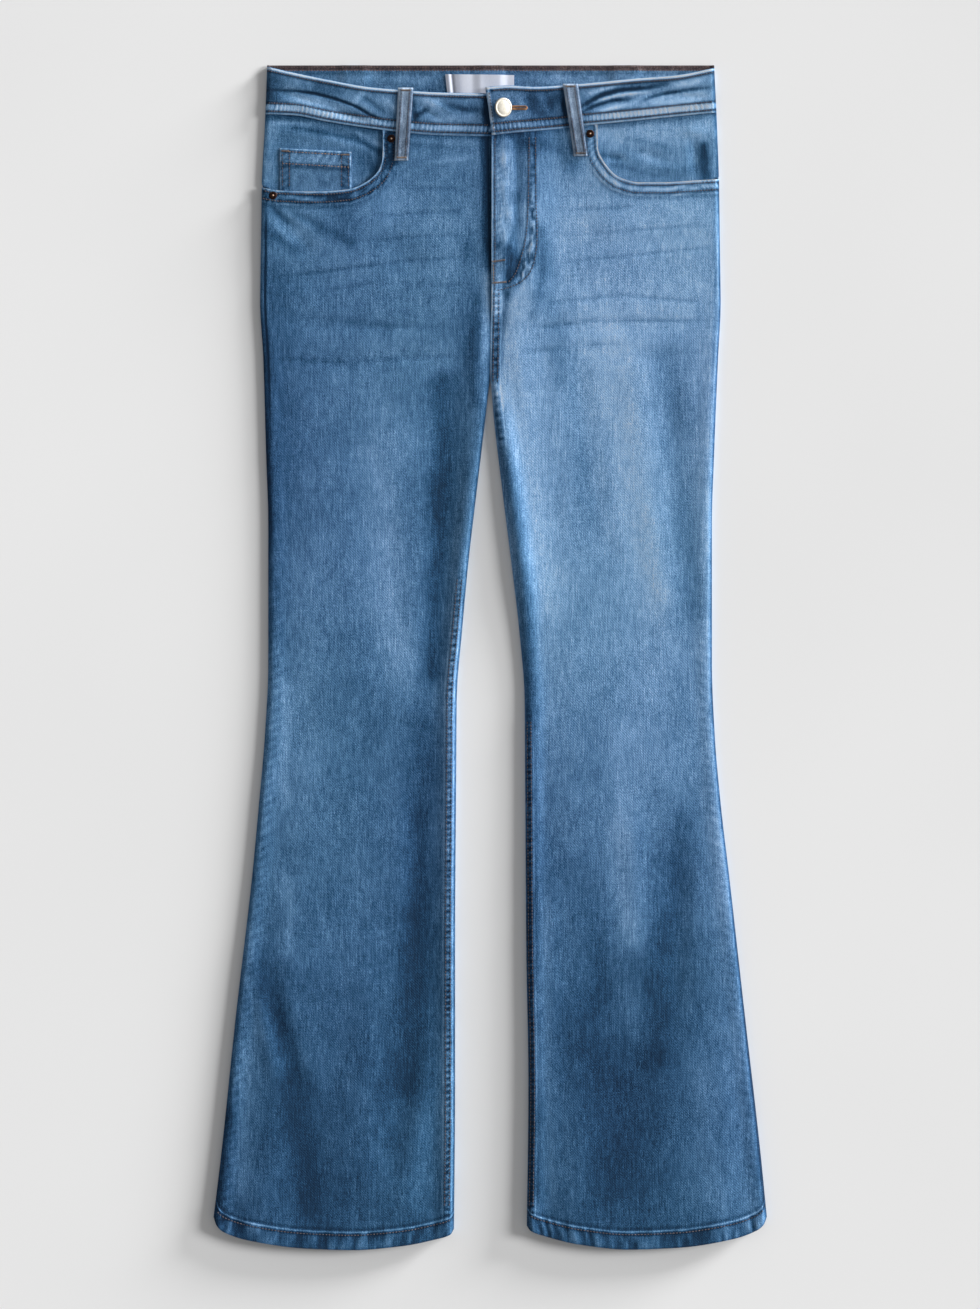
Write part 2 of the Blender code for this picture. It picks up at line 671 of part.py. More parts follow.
def fly_shield():
    """The cloth behind the zip, under both fly edges."""
    top = FRONT_BAND[RIGHT]["low"][1] + 2 * GAP

    def corners(u, v):
        width = mix(39.5, 24.0, ramp(v, 0.7, 1))
        return -9.5 + width * u, mix(top, FLY_END + 4, v)
    return sheet("fly_shield", corners, (3, 6), lambda x, down: SHIELD_TOP - DENIM, DENIM, "denim")


def zip_strip():
    """Closed zip under the overlap: two tapes with the chain of teeth standing between them."""
    x0, top, foot, tape, chain = 4.0, 68.0, FLY_END - 4, 9.0, 2.6
    low = SHIELD_TOP + GAP
    across = ((-tape, 0.6), (-chain, 0.6), (-chain, 1.3), (chain, 1.3), (chain, 0.6), (tape, 0.6), (tape, 0), (-tape, 0))
    points = []
    for down in (top, foot):
        points += [(x0 + tape + a, down, low + up) for a, up in across]
    n = len(across)
    faces = [(k, (k + 1) % n, n + (k + 1) % n, n + k) for k in range(n)]
    faces += [tuple(range(n))[::-1], tuple(range(n, 2 * n))]
    return add_object("zip", points, [tuple(reversed(f)) for f in faces], "zip_brass", smooth=False)


def label():
    """Plain satin label on the inner face of the back waistband."""
    p = LABEL

    def corners(u, v):
        return mix(p["x0"] + 1.5 * v, p["x1"], u), mix(p["top"], p["foot"], v)
    return sheet("label", corners, (8, 2), lambda x, down: back_up(x, down) + BAND + GAP, TRIM, "satin")


def turned(name, x, down, profile, look, steps=20):
    """A solid of revolution about a vertical line; profile is (radius, up) from its foot to its top."""
    points, rings = [], []
    for radius, up in profile:
        if radius == 0:
            rings.append([len(points)])
            points.append((x, down, up))
        else:
            rings.append(list(range(len(points), len(points) + steps)))
            points += [(x + radius * cos(2 * pi * k / steps), down - radius * sin(2 * pi * k / steps), up) for k in range(steps)]
    faces = []
    for low, high in zip(rings, rings[1:]):
        for k in range(steps):
            n = (k + 1) % steps
            if len(low) == 1:
                faces.append((low[0], high[n], high[k]))
            elif len(high) == 1:
                faces.append((low[k], low[n], high[0]))
            else:
                faces.append((low[k], low[n], high[n], high[k]))
    return add_object(name, points, faces, look)


def button():
    """Cap over the overlap, neck through the buttonhole and the underlap, tack head below it."""
    b = BUTTON
    under = front_up(RIGHT, -b["x"], b["down"]) + BAND_RAISE - BAND - GAP
    over = max(front_up(LEFT, b["x"] + dx, b["down"] + dy) for dx in (-7, 0, 7) for dy in (-7, 0, 7))
    over += BAND_RAISE + GAP
    profile = (
        (0, under - 0.7), (b["tack"], under - 0.7), (b["tack"], under), (b["neck"], under), (b["neck"], over),
        (b["radius"] - 0.6, over), (b["radius"], over + 0.5), (b["radius"] - 0.3, over + 1.3),
        (b["radius"] - 1.8, over + 1.9), (4.0, over + 2.3), (0, over + 2.4),
    )
    return turned("button", b["x"], b["down"], profile, "nickel", steps=24)


def rivet(name, side, out, down):
    r = RIVET_RADIUS
    around = [front_up(side, out + dx, down + dy) for dx in (-r, 0, r) for dy in (-r, 0, r)]
    seat = max(around) + GAP
    profile = ((0, seat), (r, seat), (r, seat + 0.35), (r - 0.9, seat + 0.8), (1.6, seat + 0.85), (1.2, seat + 1.2), (0, seat + 1.3))
    return turned(name, side * out, down, profile, "copper", steps=16)


def build():
    for obj in list(bpy.data.objects):
        bpy.data.objects.remove(obj, do_unlink=True)
    waistband_back()
    label()
    for side in (RIGHT, LEFT):
        back_yoke(side)
        back_panel(side)
        back_pocket(side)
        pocket_facing(side)
        front_panel(side)
        waistband_front(side)
        front_belt_loop(side)
    for name, at in BACK_LOOPS.items():
        back_belt_loop(name, at)
    coin_pocket()
    fly_shield()
    zip_strip()
    button()
    for name, (side, out, down) in RIVETS.items():
        rivet(name, side, out, down)


build()
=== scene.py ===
"""The looks of a pair of flared jeans, laid flat with the front up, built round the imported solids.

+X is the viewer's right (the wearer's left), +Y runs up to the waist, +Z up off the surface.  Sizes in tables
and functions are millimetres; "out" is the distance from the middle of the garment, "down" the distance from
the top of the back waistband.  The outline, heights and creases are the solids' own, on a finer grid.
"""

from math import atan2, cos, pi, radians, sin

import bpy
import numpy as np
from mathutils import Matrix, Vector
from mathutils.bvhtree import BVHTree


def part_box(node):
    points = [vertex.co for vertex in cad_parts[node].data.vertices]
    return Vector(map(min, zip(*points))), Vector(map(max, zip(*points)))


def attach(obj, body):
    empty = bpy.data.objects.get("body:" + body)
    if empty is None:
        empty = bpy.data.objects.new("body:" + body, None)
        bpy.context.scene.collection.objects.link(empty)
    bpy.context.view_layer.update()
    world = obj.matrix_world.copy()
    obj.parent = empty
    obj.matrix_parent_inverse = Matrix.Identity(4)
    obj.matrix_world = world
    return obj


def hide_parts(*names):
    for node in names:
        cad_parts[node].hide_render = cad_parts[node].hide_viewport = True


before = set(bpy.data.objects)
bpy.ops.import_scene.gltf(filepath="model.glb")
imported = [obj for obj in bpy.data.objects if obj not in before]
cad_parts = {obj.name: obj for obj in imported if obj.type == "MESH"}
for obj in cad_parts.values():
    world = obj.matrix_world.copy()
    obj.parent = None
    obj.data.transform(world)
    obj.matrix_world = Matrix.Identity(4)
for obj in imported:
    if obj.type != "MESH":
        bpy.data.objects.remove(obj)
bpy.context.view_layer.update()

MM = 0.001
FAR = 99.0             # millimetres, the distance to an edge that isn't near
LENGTH = 1082.5        # from the top of the back waistband to the lowest hem
GAP = 0.3              # between one piece and the next
SHELL = 1.0            # thickness of the cloth shells
ROLL = 5.0             # how far in from its edge a piece rolls over into the seam
CROTCH = 288.0
TOP_ROW = 215.0        # the highest row of the grids that runs straight across a leg
HEM_FOOT = 1053.0      # where the legs' outer edges end
HEM_DEPTH = 16.0
HEM_ROW = 2.4          # the hem's stitches, below its upper edge
FLY_END = 205.0
FLY_RAISE = 1.9
BAND = 1.6
BAND_RAISE = 0.4
TRIM = 1.0
PATCH_LIFT = TRIM + GAP
RIGHT, LEFT = -1, 1
SIDE_NAME = {RIGHT: "right", LEFT: "left"}

# ---- the solids' outline, repeated ----

LEG = {
    "down": (0, 52, 110, 215, 270, 356, 420, 548, 612, 676, 740, 869, 997, 1053),
    RIGHT: (204, 206, 209, 210.5, 207.5, 205, 203, 203, 206, 211.5, 217.5, 232.5, 246, 252.8),
    LEFT: (205, 207.5, 209.5, 211, 208.5, 205, 203, 203, 205.5, 211, 218.5, 233, 247.5, 253),
}
INSEAM = {
    "down": (288, 300, 325, 388, 452, 516, 580, 650, 805, 933, 1053),
    RIGHT: (0.15, 1.6, 4.5, 12, 19.5, 25.5, 30.5, 31, 32, 32, 33),
    LEFT: (0.15, 1.4, 3.6, 11, 19, 26.5, 31.5, 32, 33, 35, 33.5),
}
HEM = {
    "share": (0, 0.012, 0.04, 0.14, 0.38, 0.58, 0.78, 0.94, 0.985, 1),
    RIGHT: (0, 7.5, 13.5, 21, 28.5, 30, 26.5, 19.5, 16, 11),
    LEFT: (0, 6.5, 12, 20, 28, 29.5, 25, 16.5, 12.5, 8),
}
FRONT_BAND = {
    RIGHT: {
        "out": (-30, 10, 50, 85, 112, 148, 180, 206),
        "top": (27, 26, 25, 22.5, 20, 13.5, 7, 1),
        "low": (65.5, 65, 64, 61, 57.5, 52, 46, 45),
    },
    LEFT: {
        "out": (-4.5, 17, 40, 66, 85, 106, 137, 170, 206.5),
        "top": (20.5, 19, 20, 18.5, 17, 15, 12, 9.5, 2.5),
        "low": (65, 62.5, 60.5, 58, 55.5, 53.5, 50.5, 47, 43.5),
    },
}
MOUTH = {
    RIGHT: {
        "out": (209, 193, 159, 130, 112, 100.5, 98, 98),
        "down": (112, 115, 116, 114, 106.5, 94, 82, 60),
    },
    LEFT: {
        "out": (209.5, 184, 158, 136, 118.5, 106, 98.5, 98),
        "down": (104.5, 106, 107.5, 107.5, 103, 91.5, 75.5, 55),
    },
}
FRONT_HEIGHT = {
    "down": (0, 150, 240, 350, 500, 700, 900, 1060),
    "up": (6.3, 6.3, 5.7, 5.3, 5.4, 6.4, 7.8, 8.8),
}
SEAM_HEIGHT = {"down": (0, 450, 800, 1060), "up": (3.0, 3.0, 4.6, 6.2)}
FLARE = {"down": (450, 750, 1060), "up": (0, 1.2, 3.0), "edge": 50.0}
# Troughs and ridges: from (out, down) to (out, down), width, rise
CREASES = {
    RIGHT: (
        (204, 20, 165, 30, 6, -0.7),       # waistband, slanting
        (165, 30, 108, 56, 6, -0.9),
        (200, 134, 160, 176, 9, -0.8),     # from the rivet down
        (118, 152, 60, 186, 15, -0.6),     # below the pocket
        (200, 205, 20, 176, 9, -0.4),      # whiskers
        (205, 232, 60, 243, 9, -0.4),
        (170, 276, 30, 262, 10, -0.5),
        (9, 218, 14, 330, 9, 0.9),         # ridge, trough and ridge beside the crotch
        (34, 275, 49, 575, 13, -1.5),
        (88, 300, 64, 545, 22, 0.8),
        (150, 330, 130, 620, 26, 0.5),
        (68, 640, 65, 860, 12, -1.5),      # flutes of the flare, from the inseam out
        (66, 850, 90, 1010, 14, -1.3),
        (46, 873, 80, 1040, 12, 1.0),
        (114, 800, 118, 1060, 20, 0.9),
        (172, 940, 160, 1060, 24, -1.2),
        (208, 828, 172, 950, 10, -1.4),
        (215, 815, 197, 930, 8, 1.0),
    ),
    LEFT: (
        (204, 26, 150, 30, 6, -0.6),       # waistband, slanting
        (160, 18, 85, 42, 6, -0.8),
        (42, 140, 20, 205, 6, -0.8),       # beside the fly's curve
        (14, 190, 7, 262, 6, -0.8),        # beside the centre seam
        (40, 114, 125, 116, 10, -0.4),     # whiskers
        (35, 165, 200, 158, 10, -0.4),
        (30, 240, 190, 238, 8, -0.5),
        (60, 262, 200, 268, 10, -0.4),
        (22, 225, 46, 500, 13, 0.9),       # ridges and troughs of the thigh, from the inseam out
        (78, 262, 102, 455, 12, -0.5),
        (130, 250, 142, 380, 15, 0.8),
        (142, 370, 168, 530, 14, 0.9),
        (162, 262, 176, 420, 14, -0.8),
        (53, 715, 57, 1045, 10, 0.9),      # flutes of the flare, from the inseam out
        (87, 800, 138, 1030, 28, -1.1),
        (128, 660, 136, 815, 13, 1.0),
        (174, 700, 166, 885, 13, -1.4),
        (206, 763, 222, 1045, 16, 0.8),
    ),
}
BACK_POCKET = {"out": 108.0, "top": 126.0, "side": 246.0, "point": 262.0, "top_half": 72.0, "low_half": 64.0}
BACK_POCKET_SIZE = (136.0, 126.0)      # wide and high
BACK_LOOPS = {"back_belt_loop_right": -124.0, "back_belt_loop_centre": 0.0, "back_belt_loop_left": 124.0}
LOOP_WIDTH = 12.0
LOOP_FADE = (8.0, 17.0)                # where the back's room for a loop ends, out from the loop's middle
LOOP_BELOW_BAND = 23.0
YOKE_AT_SIDE = 78.0
YOKE_AT_CENTRE = 112.0
# Front belt loops: out at the top, out at the foot, down at the top, down at the foot
FRONT_LOOPS = {RIGHT: (77.0, 81.0, 21.0, 87.5), LEFT: (73.5, 83.0, 17.5, 83.5)}
COIN_POCKET = {"outer": 192.3, "inner": 127.0, "top_outer": 76.0, "top_inner": 79.5, "foot": 125.0}
FACING_TOP = 4.4                       # height of the pocket facings
LABEL = {"x0": -41.0, "x1": 22.0, "top": 9.0, "foot": 32.0}
BAND_EDGE = 4.9                        # depth of the dark strip along the back waistband's top
BUTTON = {"x": 11.5, "down": 39.5, "radius": 8.8, "lean": 17.0, "lift": 1.2}
BUTTONHOLE_END = 32.0
# Rivets: side, out, down
RIVETS = {"rivet_1": (RIGHT, 90.3, 67.5), "rivet_2": (RIGHT, 198.5, 119.5), "rivet_3": (LEFT, 91.5, 63.0)}
RIVET_RADIUS = 3.6
# The two edges of the inseam's band, in from the panel's edge
INSEAM_ROWS = {RIGHT: (3.6, 9.4), LEFT: (1.4, 6.4)}
FLY_CURVE = {
    "down": (60, 124, 148, 160, 170, 180, 190, 198, 204, 206.5),
    "outer": (41.5, 42, 43, 43, 42, 40.4, 36.5, 29, 16, 5.5),
    "inner": (35.8, 35, 33.8, 32.4, 30.2, 27.2, 23.5, 17.5, 7.5, 2),
}

# ---- finer creases, which only the shells have: from (out, down) to (out, down), width, rise ----

FINE_CREASES = {
    RIGHT: (
        (196, 24, 150, 38, 2.4, -0.55), (186, 34, 128, 52, 2.6, 0.35), (150, 38, 100, 57, 2.2, -0.5),
        (68, 36, 44, 52, 2.5, -0.5), (60, 30, 30, 47, 2.6, 0.4), (48, 50, 20, 56, 2.4, -0.35),
        (203, 128, 178, 150, 3.2, -0.6), (200, 144, 176, 168, 3.0, 0.4), (190, 130, 150, 150, 3.4, -0.35),
        (198, 195, 75, 179, 1.6, -0.27), (95, 180, 20, 176, 1.6, -0.22), (125, 161, 20, 155, 1.7, -0.22),
        (110, 138, 20, 133, 1.7, -0.24), (76, 113, 20, 113, 1.8, -0.2), (155, 207, 95, 197, 2.2, -0.16),
        (100, 199, 20, 202, 2.2, -0.14), (190, 228, 90, 238, 2.6, -0.13), (140, 237, 20, 241, 2.8, -0.17),
        (200, 268, 120, 273, 2.4, -0.26), (130, 271, 20, 265, 2.4, -0.26), (95, 72, 30, 76, 3.0, -0.25),
        (60, 90, 12, 84, 3.0, 0.3),
    ),
    LEFT: (
        (200, 30, 150, 27, 2.4, -0.5), (170, 20, 95, 40, 2.6, -0.6), (130, 34, 88, 48, 2.4, 0.4),
        (60, 28, 36, 44, 2.6, -0.5), (66, 44, 40, 52, 2.4, 0.3), (62, 133, 135, 130, 2.0, -0.28),
        (60, 157, 205, 146, 1.8, -0.2), (58, 181, 120, 175, 1.8, -0.2), (105, 177, 208, 166, 1.8, -0.24),
        (42, 219, 125, 210, 1.8, -0.25), (110, 210, 208, 218, 1.8, -0.24), (34, 241, 105, 233, 1.6, -0.34),
        (85, 234, 208, 234, 1.4, -0.32), (80, 256, 125, 256, 2.2, -0.3), (28, 262, 74, 260, 2.0, -0.24),
        (79, 178, 83, 206, 1.6, -0.22), (100, 283, 128, 282, 1.8, -0.14), (100, 84, 150, 92, 3.0, -0.3),
    ),
}

# The same on the back, pressed up into its flat face
BACK_CREASES = {
    RIGHT: (
        (195, 300, 60, 330, 6, 0.5), (180, 420, 50, 452, 7, 0.5), (190, 472, 60, 500, 5, 0.4),
        (40, 300, 110, 345, 6, 0.5), (120, 560, 150, 700, 12, 0.5), (60, 620, 70, 900, 12, 0.6),
        (172, 880, 160, 1045, 16, 0.6), (215, 820, 200, 960, 9, 0.5),
    ),
    LEFT: (
        (190, 310, 50, 325, 6, 0.5), (175, 405, 45, 440, 7, 0.5), (185, 480, 70, 492, 5, 0.4),
        (30, 310, 90, 362, 6, 0.5), (110, 540, 120, 690, 12, 0.5), (76, 640, 92, 880, 12, 0.6),
        (186, 800, 202, 1040, 15, 0.6), (138, 700, 132, 860, 10, 0.5),
    ),
}

# The same on the pocket facings
FACING_CREASES = {
    RIGHT: (
        (200, 58, 118, 74, 4, 0.4), (150, 60, 104, 72, 4, -0.7), (125, 96, 108, 84, 5, -0.5),
        (200, 80, 198, 104, 4, 0.4),
    ),
    LEFT: (
        (186, 66, 188, 102, 4.5, -0.9), (104, 84, 125, 86, 3.5, -0.8), (128, 80, 160, 84, 4, -0.5),
        (175, 60, 200, 62, 4, 0.5), (140, 92, 178, 96, 4, 0.4),
    ),
}

# ---- how light each leg is down its length, partly the wash and partly painted light (the leg nearer the light is lighter), and soft strokes on it ----

LEG_TONE = {
    "down": (0, 150, 300, 450, 544, 654, 764, 873, 983, 1060),
    RIGHT: (0.45, 0.48, 0.43, 0.45, 0.46, 0.45, 0.38, 0.32, 0.28, 0.25),
    LEFT: (0.60, 0.67, 0.72, 0.67, 0.59, 0.49, 0.38, 0.31, 0.27, 0.27),
}

# Strokes, partly the wash's fade and partly painted shade and highlight of folds: amount, width on the outer
# side, width on the inner side, points (out, down) along the stroke
WASH_AND_SHADE_STROKES = {
    RIGHT: (
        (-0.18, 30, 20, (198, 190), (196, 300), (197, 420), (202, 520)),
        (-0.34, 10, 10, (42, 285), (48, 398), (50, 489), (52, 555)),
        (-0.14, 10, 14, (22, 165), (24, 288), (30, 350), (40, 420)),
        (-0.17, 5, 6, (12, 208), (15, 245), (16, 285), (13, 305)), (-0.06, 60, 60, (95, 560), (90, 1000)),
        (0.19, 26, 14, (96, 345), (96, 398), (90, 489), (74, 546)), (0.05, 20, 14, (137, 282), (85, 284)),
        (0.08, 16, 14, (112, 296), (84, 325)), (-0.05, 14, 14, (126, 520), (104, 590)),
        (0.06, 30, 22, (152, 690), (112, 738)),
        (-0.2, 17, 16, (62, 600), (64, 718), (65, 809), (69, 855), (76, 935)),
        (-0.08, 9, 9, (66, 690), (68, 850)), (0.15, 6, 5, (187.5, 571), (187, 672)),
        (0.15, 6, 5, (183, 745), (184, 810)), (0.06, 24, 18, (172, 470), (166, 660)),
        (0.14, 7, 9, (221, 790), (219, 840), (213, 885)), (-0.1, 7, 7, (196, 872), (190, 905)),
        (0.16, 8, 11, (224, 900), (228, 1030)),
        (-0.19, 12, 15, (211, 828), (194, 890), (182, 940), (172, 990), (166, 1045)),
        (-0.07, 26, 34, (178, 960), (162, 1045)), (-0.22, 10, 8, (238, 965), (244, 1000), (248, 1048)),
        (0.12, 7, 7, (43, 890), (43, 1000)), (0.05, 14, 14, (92, 1005), (80, 1040)),
        (-0.07, 9, 12, (98, 925), (96, 985)), (0.07, 10, 10, (66, 960), (62, 1030)),
        (0.08, 20, 25, (85, 130), (45, 148), (26, 200)), (-0.16, 12, 12, (141, 126), (132, 148)),
        (-0.22, 5, 5, (153, 150), (126, 164)), (0.08, 10, 8, (16, 66), (62, 66)),
        (-0.3, 5, 5, (92, 60), (90, 84)), (0.07, 10, 14, (150, 250), (80, 262), (40, 262)),
        (-0.07, 30, 30, (170, 205), (150, 250)), (-0.28, 8, 8, (202, 146), (178, 164)),
        (0.07, 10, 10, (192, 110), (176, 150)),
    ),
    LEFT: (
        (-0.34, 6, 8, (5, 315), (12, 352), (22.8, 398), (31.9, 489), (37.3, 581), (37.3, 764), (36.5, 1038)),
        (0.12, 12, 9, (15, 215), (16, 261), (22, 306), (32, 352), (42, 398), (48, 453), (54, 500)),
        (0.14, 6, 6, (37, 160), (28, 225)), (-0.2, 6, 8, (20, 172), (14, 208)),
        (-0.3, 3, 3.5, (14.6, 208), (12.5, 225), (11, 244), (9.5, 262), (7.5, 280)),
        (0.05, 7, 5, (27, 200), (20, 221), (18.6, 244), (16, 268), (12, 286), (13, 310)),
        (-0.15, 4, 4, (49, 150), (50, 180), (46, 202), (40, 228)),
        (-0.14, 12, 11, (40, 165), (52, 205), (62, 260), (70, 300), (82, 350), (88, 395)),
        (0.06, 9, 9, (80, 232), (82, 262)), (-0.06, 12, 12, (91, 420), (96, 465)),
        (0.2, 10, 20, (112, 242), (132, 352), (146, 444), (156, 490)), (-0.1, 12, 12, (46, 72), (52, 125)),
        (-0.2, 16, 14, (163, 262), (171, 340), (178, 416), (186, 500)),
        (0.05, 14, 20, (60, 128), (190, 134)), (0.1, 16, 14, (122, 610), (124, 670)),
        (0.21, 14, 11, (117, 692), (120, 750), (126, 800)), (-0.06, 14, 14, (54, 640), (54, 740)),
        (0.08, 20, 20, (140, 525), (150, 630)),
        (-0.2, 16, 15, (178, 690), (166, 764), (154, 840), (150, 900)),
        (-0.17, 26, 26, (90, 872), (104, 940), (118, 1040)), (-0.06, 40, 40, (130, 930), (140, 1030)),
        (-0.03, 22, 18, (155, 880), (140, 960)), (-0.12, 14, 16, (78, 735), (94, 800), (104, 850)),
        (0.15, 20, 20, (212, 700), (222, 790), (226, 900), (234, 1045)), (0.14, 8, 8, (47, 770), (46, 860)),
        (0.1, 8, 8, (50, 860), (54, 1040)), (0.16, 18, 16, (192, 925), (204, 1030)),
        (0.08, 14, 14, (120, 860), (144, 890)), (0.05, 20, 20, (56, 480), (60, 640)),
        (0.12, 8, 10, (199, 400), (199, 600), (206, 650), (218, 780)), (0.09, 18, 18, (60, 158), (200, 160)),
        (0.06, 20, 20, (150, 190), (200, 200)), (-0.27, 13, 12, (8, 66), (45, 66), (72, 72), (76, 88)),
        (0.17, 6, 6, (87, 86), (98, 103), (114, 111)), (0.06, 26, 20, (60, 200), (150, 225)),
        (0.09, 5, 4, (12, 86), (19.5, 116), (18, 145), (14, 164)),
        (-0.2, 4, 4, (24.5, 118), (26, 145), (20, 165)),
        (-0.34, 7, 6, (10, 164), (18, 172), (23, 182), (21, 196)), (-0.16, 3, 3, (14, 176), (15, 196)),
        (-0.12, 8, 8, (53, 150), (57, 190)), (-0.14, 5, 5, (29, 70), (30, 120)),
    ),
}

# The same on the waistband and on the pocket facings: painted shade and highlight of creases and folds,
# painted shadows beside the belt loops and the fly, with some of the fade
BAND_STROKES = {
    RIGHT: (
        (
            -0.38, 1.3, 1.5, (208, 21.5), (178, 23), (160, 25.6), (142, 31), (123.5, 38.4), (110, 46.5),
            (100, 51), (80, 53),
        ),
        (-0.12, 2.5, 2.5, (119, 27), (104, 38), (94, 46)), (0.12, 5, 5, (185, 30), (158, 36), (132, 45)),
        (0.14, 9, 9, (124, 28), (118, 33)), (-0.16, 8, 10, (202, 4), (201, 40)),
        (-0.12, 8, 8, (165, 18), (130, 24)), (-0.2, 3, 3, (44, 35), (22, 41), (6, 42)),
        (0.14, 4, 4, (64, 30), (46, 38)), (-0.22, 2.2, 2.2, (71, 47), (56, 38)),
        (0.08, 3, 3, (60, 47), (26, 49)), (-0.35, 4, 5, (3, 20), (2, 70)),
        (-0.2, 2.5, 2.5, (71, 26), (68, 60)), (0.1, 3, 3, (96, 30), (86, 42)),
    ),
    LEFT: (
        (-0.4, 2.4, 2.0, (78, 40), (90, 34), (103, 27), (118, 22.5), (143, 20), (162, 16.5)),
        (-0.3, 1.9, 1.9, (80, 44), (96, 37), (111.5, 32.5), (132, 31)),
        (-0.28, 2.0, 1.7, (138, 34), (148, 29), (160, 25.5), (184, 21.5), (203, 20)),
        (-0.08, 3, 3, (118, 17), (170, 13)), (-0.12, 3, 3, (150, 33), (190, 27)),
        (0.22, 1.8, 1.8, (92, 34.5), (118, 27.5), (145, 24)), (0.16, 6, 6, (138, 36), (204, 26)),
        (-0.26, 13, 15, (28, 34), (64, 34)), (0.16, 2, 2, (95, 44), (130, 36)),
        (0.14, 2, 2, (88, 27), (116, 18)), (0.12, 3, 3, (160, 20), (200, 12)),
        (-0.26, 3, 3, (64, 22), (72, 62)), (0.12, 3, 3, (24, 27), (34, 45)),
        (0.1, 2.5, 2.5, (44, 25), (54, 44)),
    ),
}
FACING_STROKES = {
    RIGHT: (
        (0.1, 8, 8, (202, 60), (202, 104)),
        (0.2, 2.2, 2.2, (197, 52.5), (160, 54), (133, 58.5), (114, 65.5), (92, 77.5)),
        (-0.26, 2.1, 2.1, (180, 57), (146, 64), (124, 69), (95, 80.5)), (-0.14, 10, 9, (122, 84), (104, 94)),
        (-0.2, 2, 2, (125, 64), (101, 82)), (0.1, 4, 4, (150, 67), (112, 76)),
        (-0.1, 3, 3, (196, 70), (196, 110)),
    ),
    LEFT: (
        (-0.52, 5, 4.5, (195, 74), (196.5, 88), (197, 106)), (-0.22, 2.5, 2.5, (101, 82), (117, 86)),
        (-0.14, 3, 3, (112, 92), (140, 98)), (0.13, 9, 9, (104, 64), (150, 65), (184, 64)),
        (-0.14, 2, 2, (125, 68), (160, 74)), (0.12, 4, 4, (206, 60), (207, 104)),
        (0.08, 5, 5, (140, 84), (160, 88)), (-0.12, 7, 6, (150, 100), (186, 96)),
    ),
}

# ---- light and dark lines along an edge: amount, distance from the edge, width ----

MOUTH_FADE = ((0.62, 0.4, 1.1), (0.16, 12.3, 0.9), (-0.16, 14.2, 2.2))
HEM_FADE = ((0.38, HEM_DEPTH, 0.9), (-0.20, HEM_DEPTH + HEM_ROW, 1.7), (-0.34, HEM_DEPTH - HEM_ROW, 1.3))
INSEAM_FADE = ((0.14, 2.2, 1.6), (-0.2, 3.9, 0.6))
SIDE_SEAM_FADE = ((0.22, 2.2, 1.0), (-0.42, 4.6, 1.2))
BAND_TOP_FADE = ((0.78, 1.2, 1.1), (-0.38, 3.9, 1.3))
BAND_LOW_FADE = ((0.42, 0.6, 0.8), (-0.42, 2.9, 1.3), (-0.42, 10.0, 1.3))
COIN_TOP_FADE = ((0.34, 0, 1.2), (-0.2, 17.2, 1.6), (-0.14, 3, 1.1), (-0.14, 14, 1.1))
COIN_SIDE_FADE = ((0.34, 0, 1.0), (-0.15, 2.5, 1.1), (-0.15, 8.5, 1.1))
LOOP_EDGE_FADE = ((0.36, 5.4, 1.0), (0.10, 1.7, 0.7), (-0.22, 3.6, 0.9))


# ---- lines, heights and noise, on arrays ----

def line(places, values, at):
    """Value at each place on the smooth line through (places, values), held level past its ends."""
    places, values = np.asarray(places, float), np.asarray(values, float)
    at = np.clip(np.asarray(at, float), places[0], places[-1])
    i = np.clip(np.searchsorted(places, at, side="right") - 1, 0, len(places) - 2)
    rates = np.diff(values) / np.diff(places)
    product, total = rates[:-1] * rates[1:], rates[:-1] + rates[1:]
    inner = np.where(product > 0, 2 * product / np.where(total == 0, 1, total), 0)
    slopes = np.concatenate([rates[:1], inner, rates[-1:]])
    span = places[i + 1] - places[i]
    t = (at - places[i]) / span
    level = (1 + 2 * t) * (1 - t) ** 2 * values[i] + t * t * (3 - 2 * t) * values[i + 1]
    return level + span * (t * (1 - t) ** 2 * slopes[i] - t * t * (1 - t) * slopes[i + 1])


def ramp(value, start, end):
    """0 before start, 1 after end, smooth between them."""
    t = np.clip((np.asarray(value, float) - start) / (end - start), 0, 1)
    return t * t * (3 - 2 * t)


def mix(a, b, t):
    return a + (b - a) * t


def hill(value, middle, width):
    return np.exp(-(((value - middle) / width) ** 2))


def hills(value, rows):
    """The sum of some hills, each row one's amount, middle and width."""
    return sum(amount * hill(value, middle, width) for amount, middle, width in rows)


def noise(x, y, size, seed):
    """Smooth noise from -1 to 1, with lumps of about size."""
    x, y = np.asarray(x, float) / size + 57.3 * seed, np.asarray(y, float) / size - 31.7 * seed
    x0, y0 = np.floor(x), np.floor(y)
    tx, ty = x - x0, y - y0
    tx, ty = tx * tx * (3 - 2 * tx), ty * ty * (3 - 2 * ty)

    def knot(a, b):
        value = np.sin(a * 127.1 + b * 311.7 + seed * 17.17) * 43758.5453
        return 2 * (value - np.floor(value)) - 1
    low = mix(knot(x0, y0), knot(x0 + 1, y0), tx)
    return mix(low, mix(knot(x0, y0 + 1), knot(x0 + 1, y0 + 1), tx), ty)


def outer_edge(side, down):
    return line(LEG["down"], LEG[side], down)


def back_inner_edge(side, down):
    return line(INSEAM["down"], INSEAM[side], down)


def centre_front(down):
    return line((60, 200, 264, CROTCH), (1.5, 1.5, 0.5, 0.15), down)


def front_inner_edge(side, down):
    below = back_inner_edge(side, down)
    if side == LEFT:
        return np.where(down >= CROTCH, below, centre_front(down))
    fly_gap = 3.2 * (1 - ramp(down, FLY_END - 10, FLY_END + 10))
    return np.where(down >= CROTCH, below, GAP + fly_gap - centre_front(down))


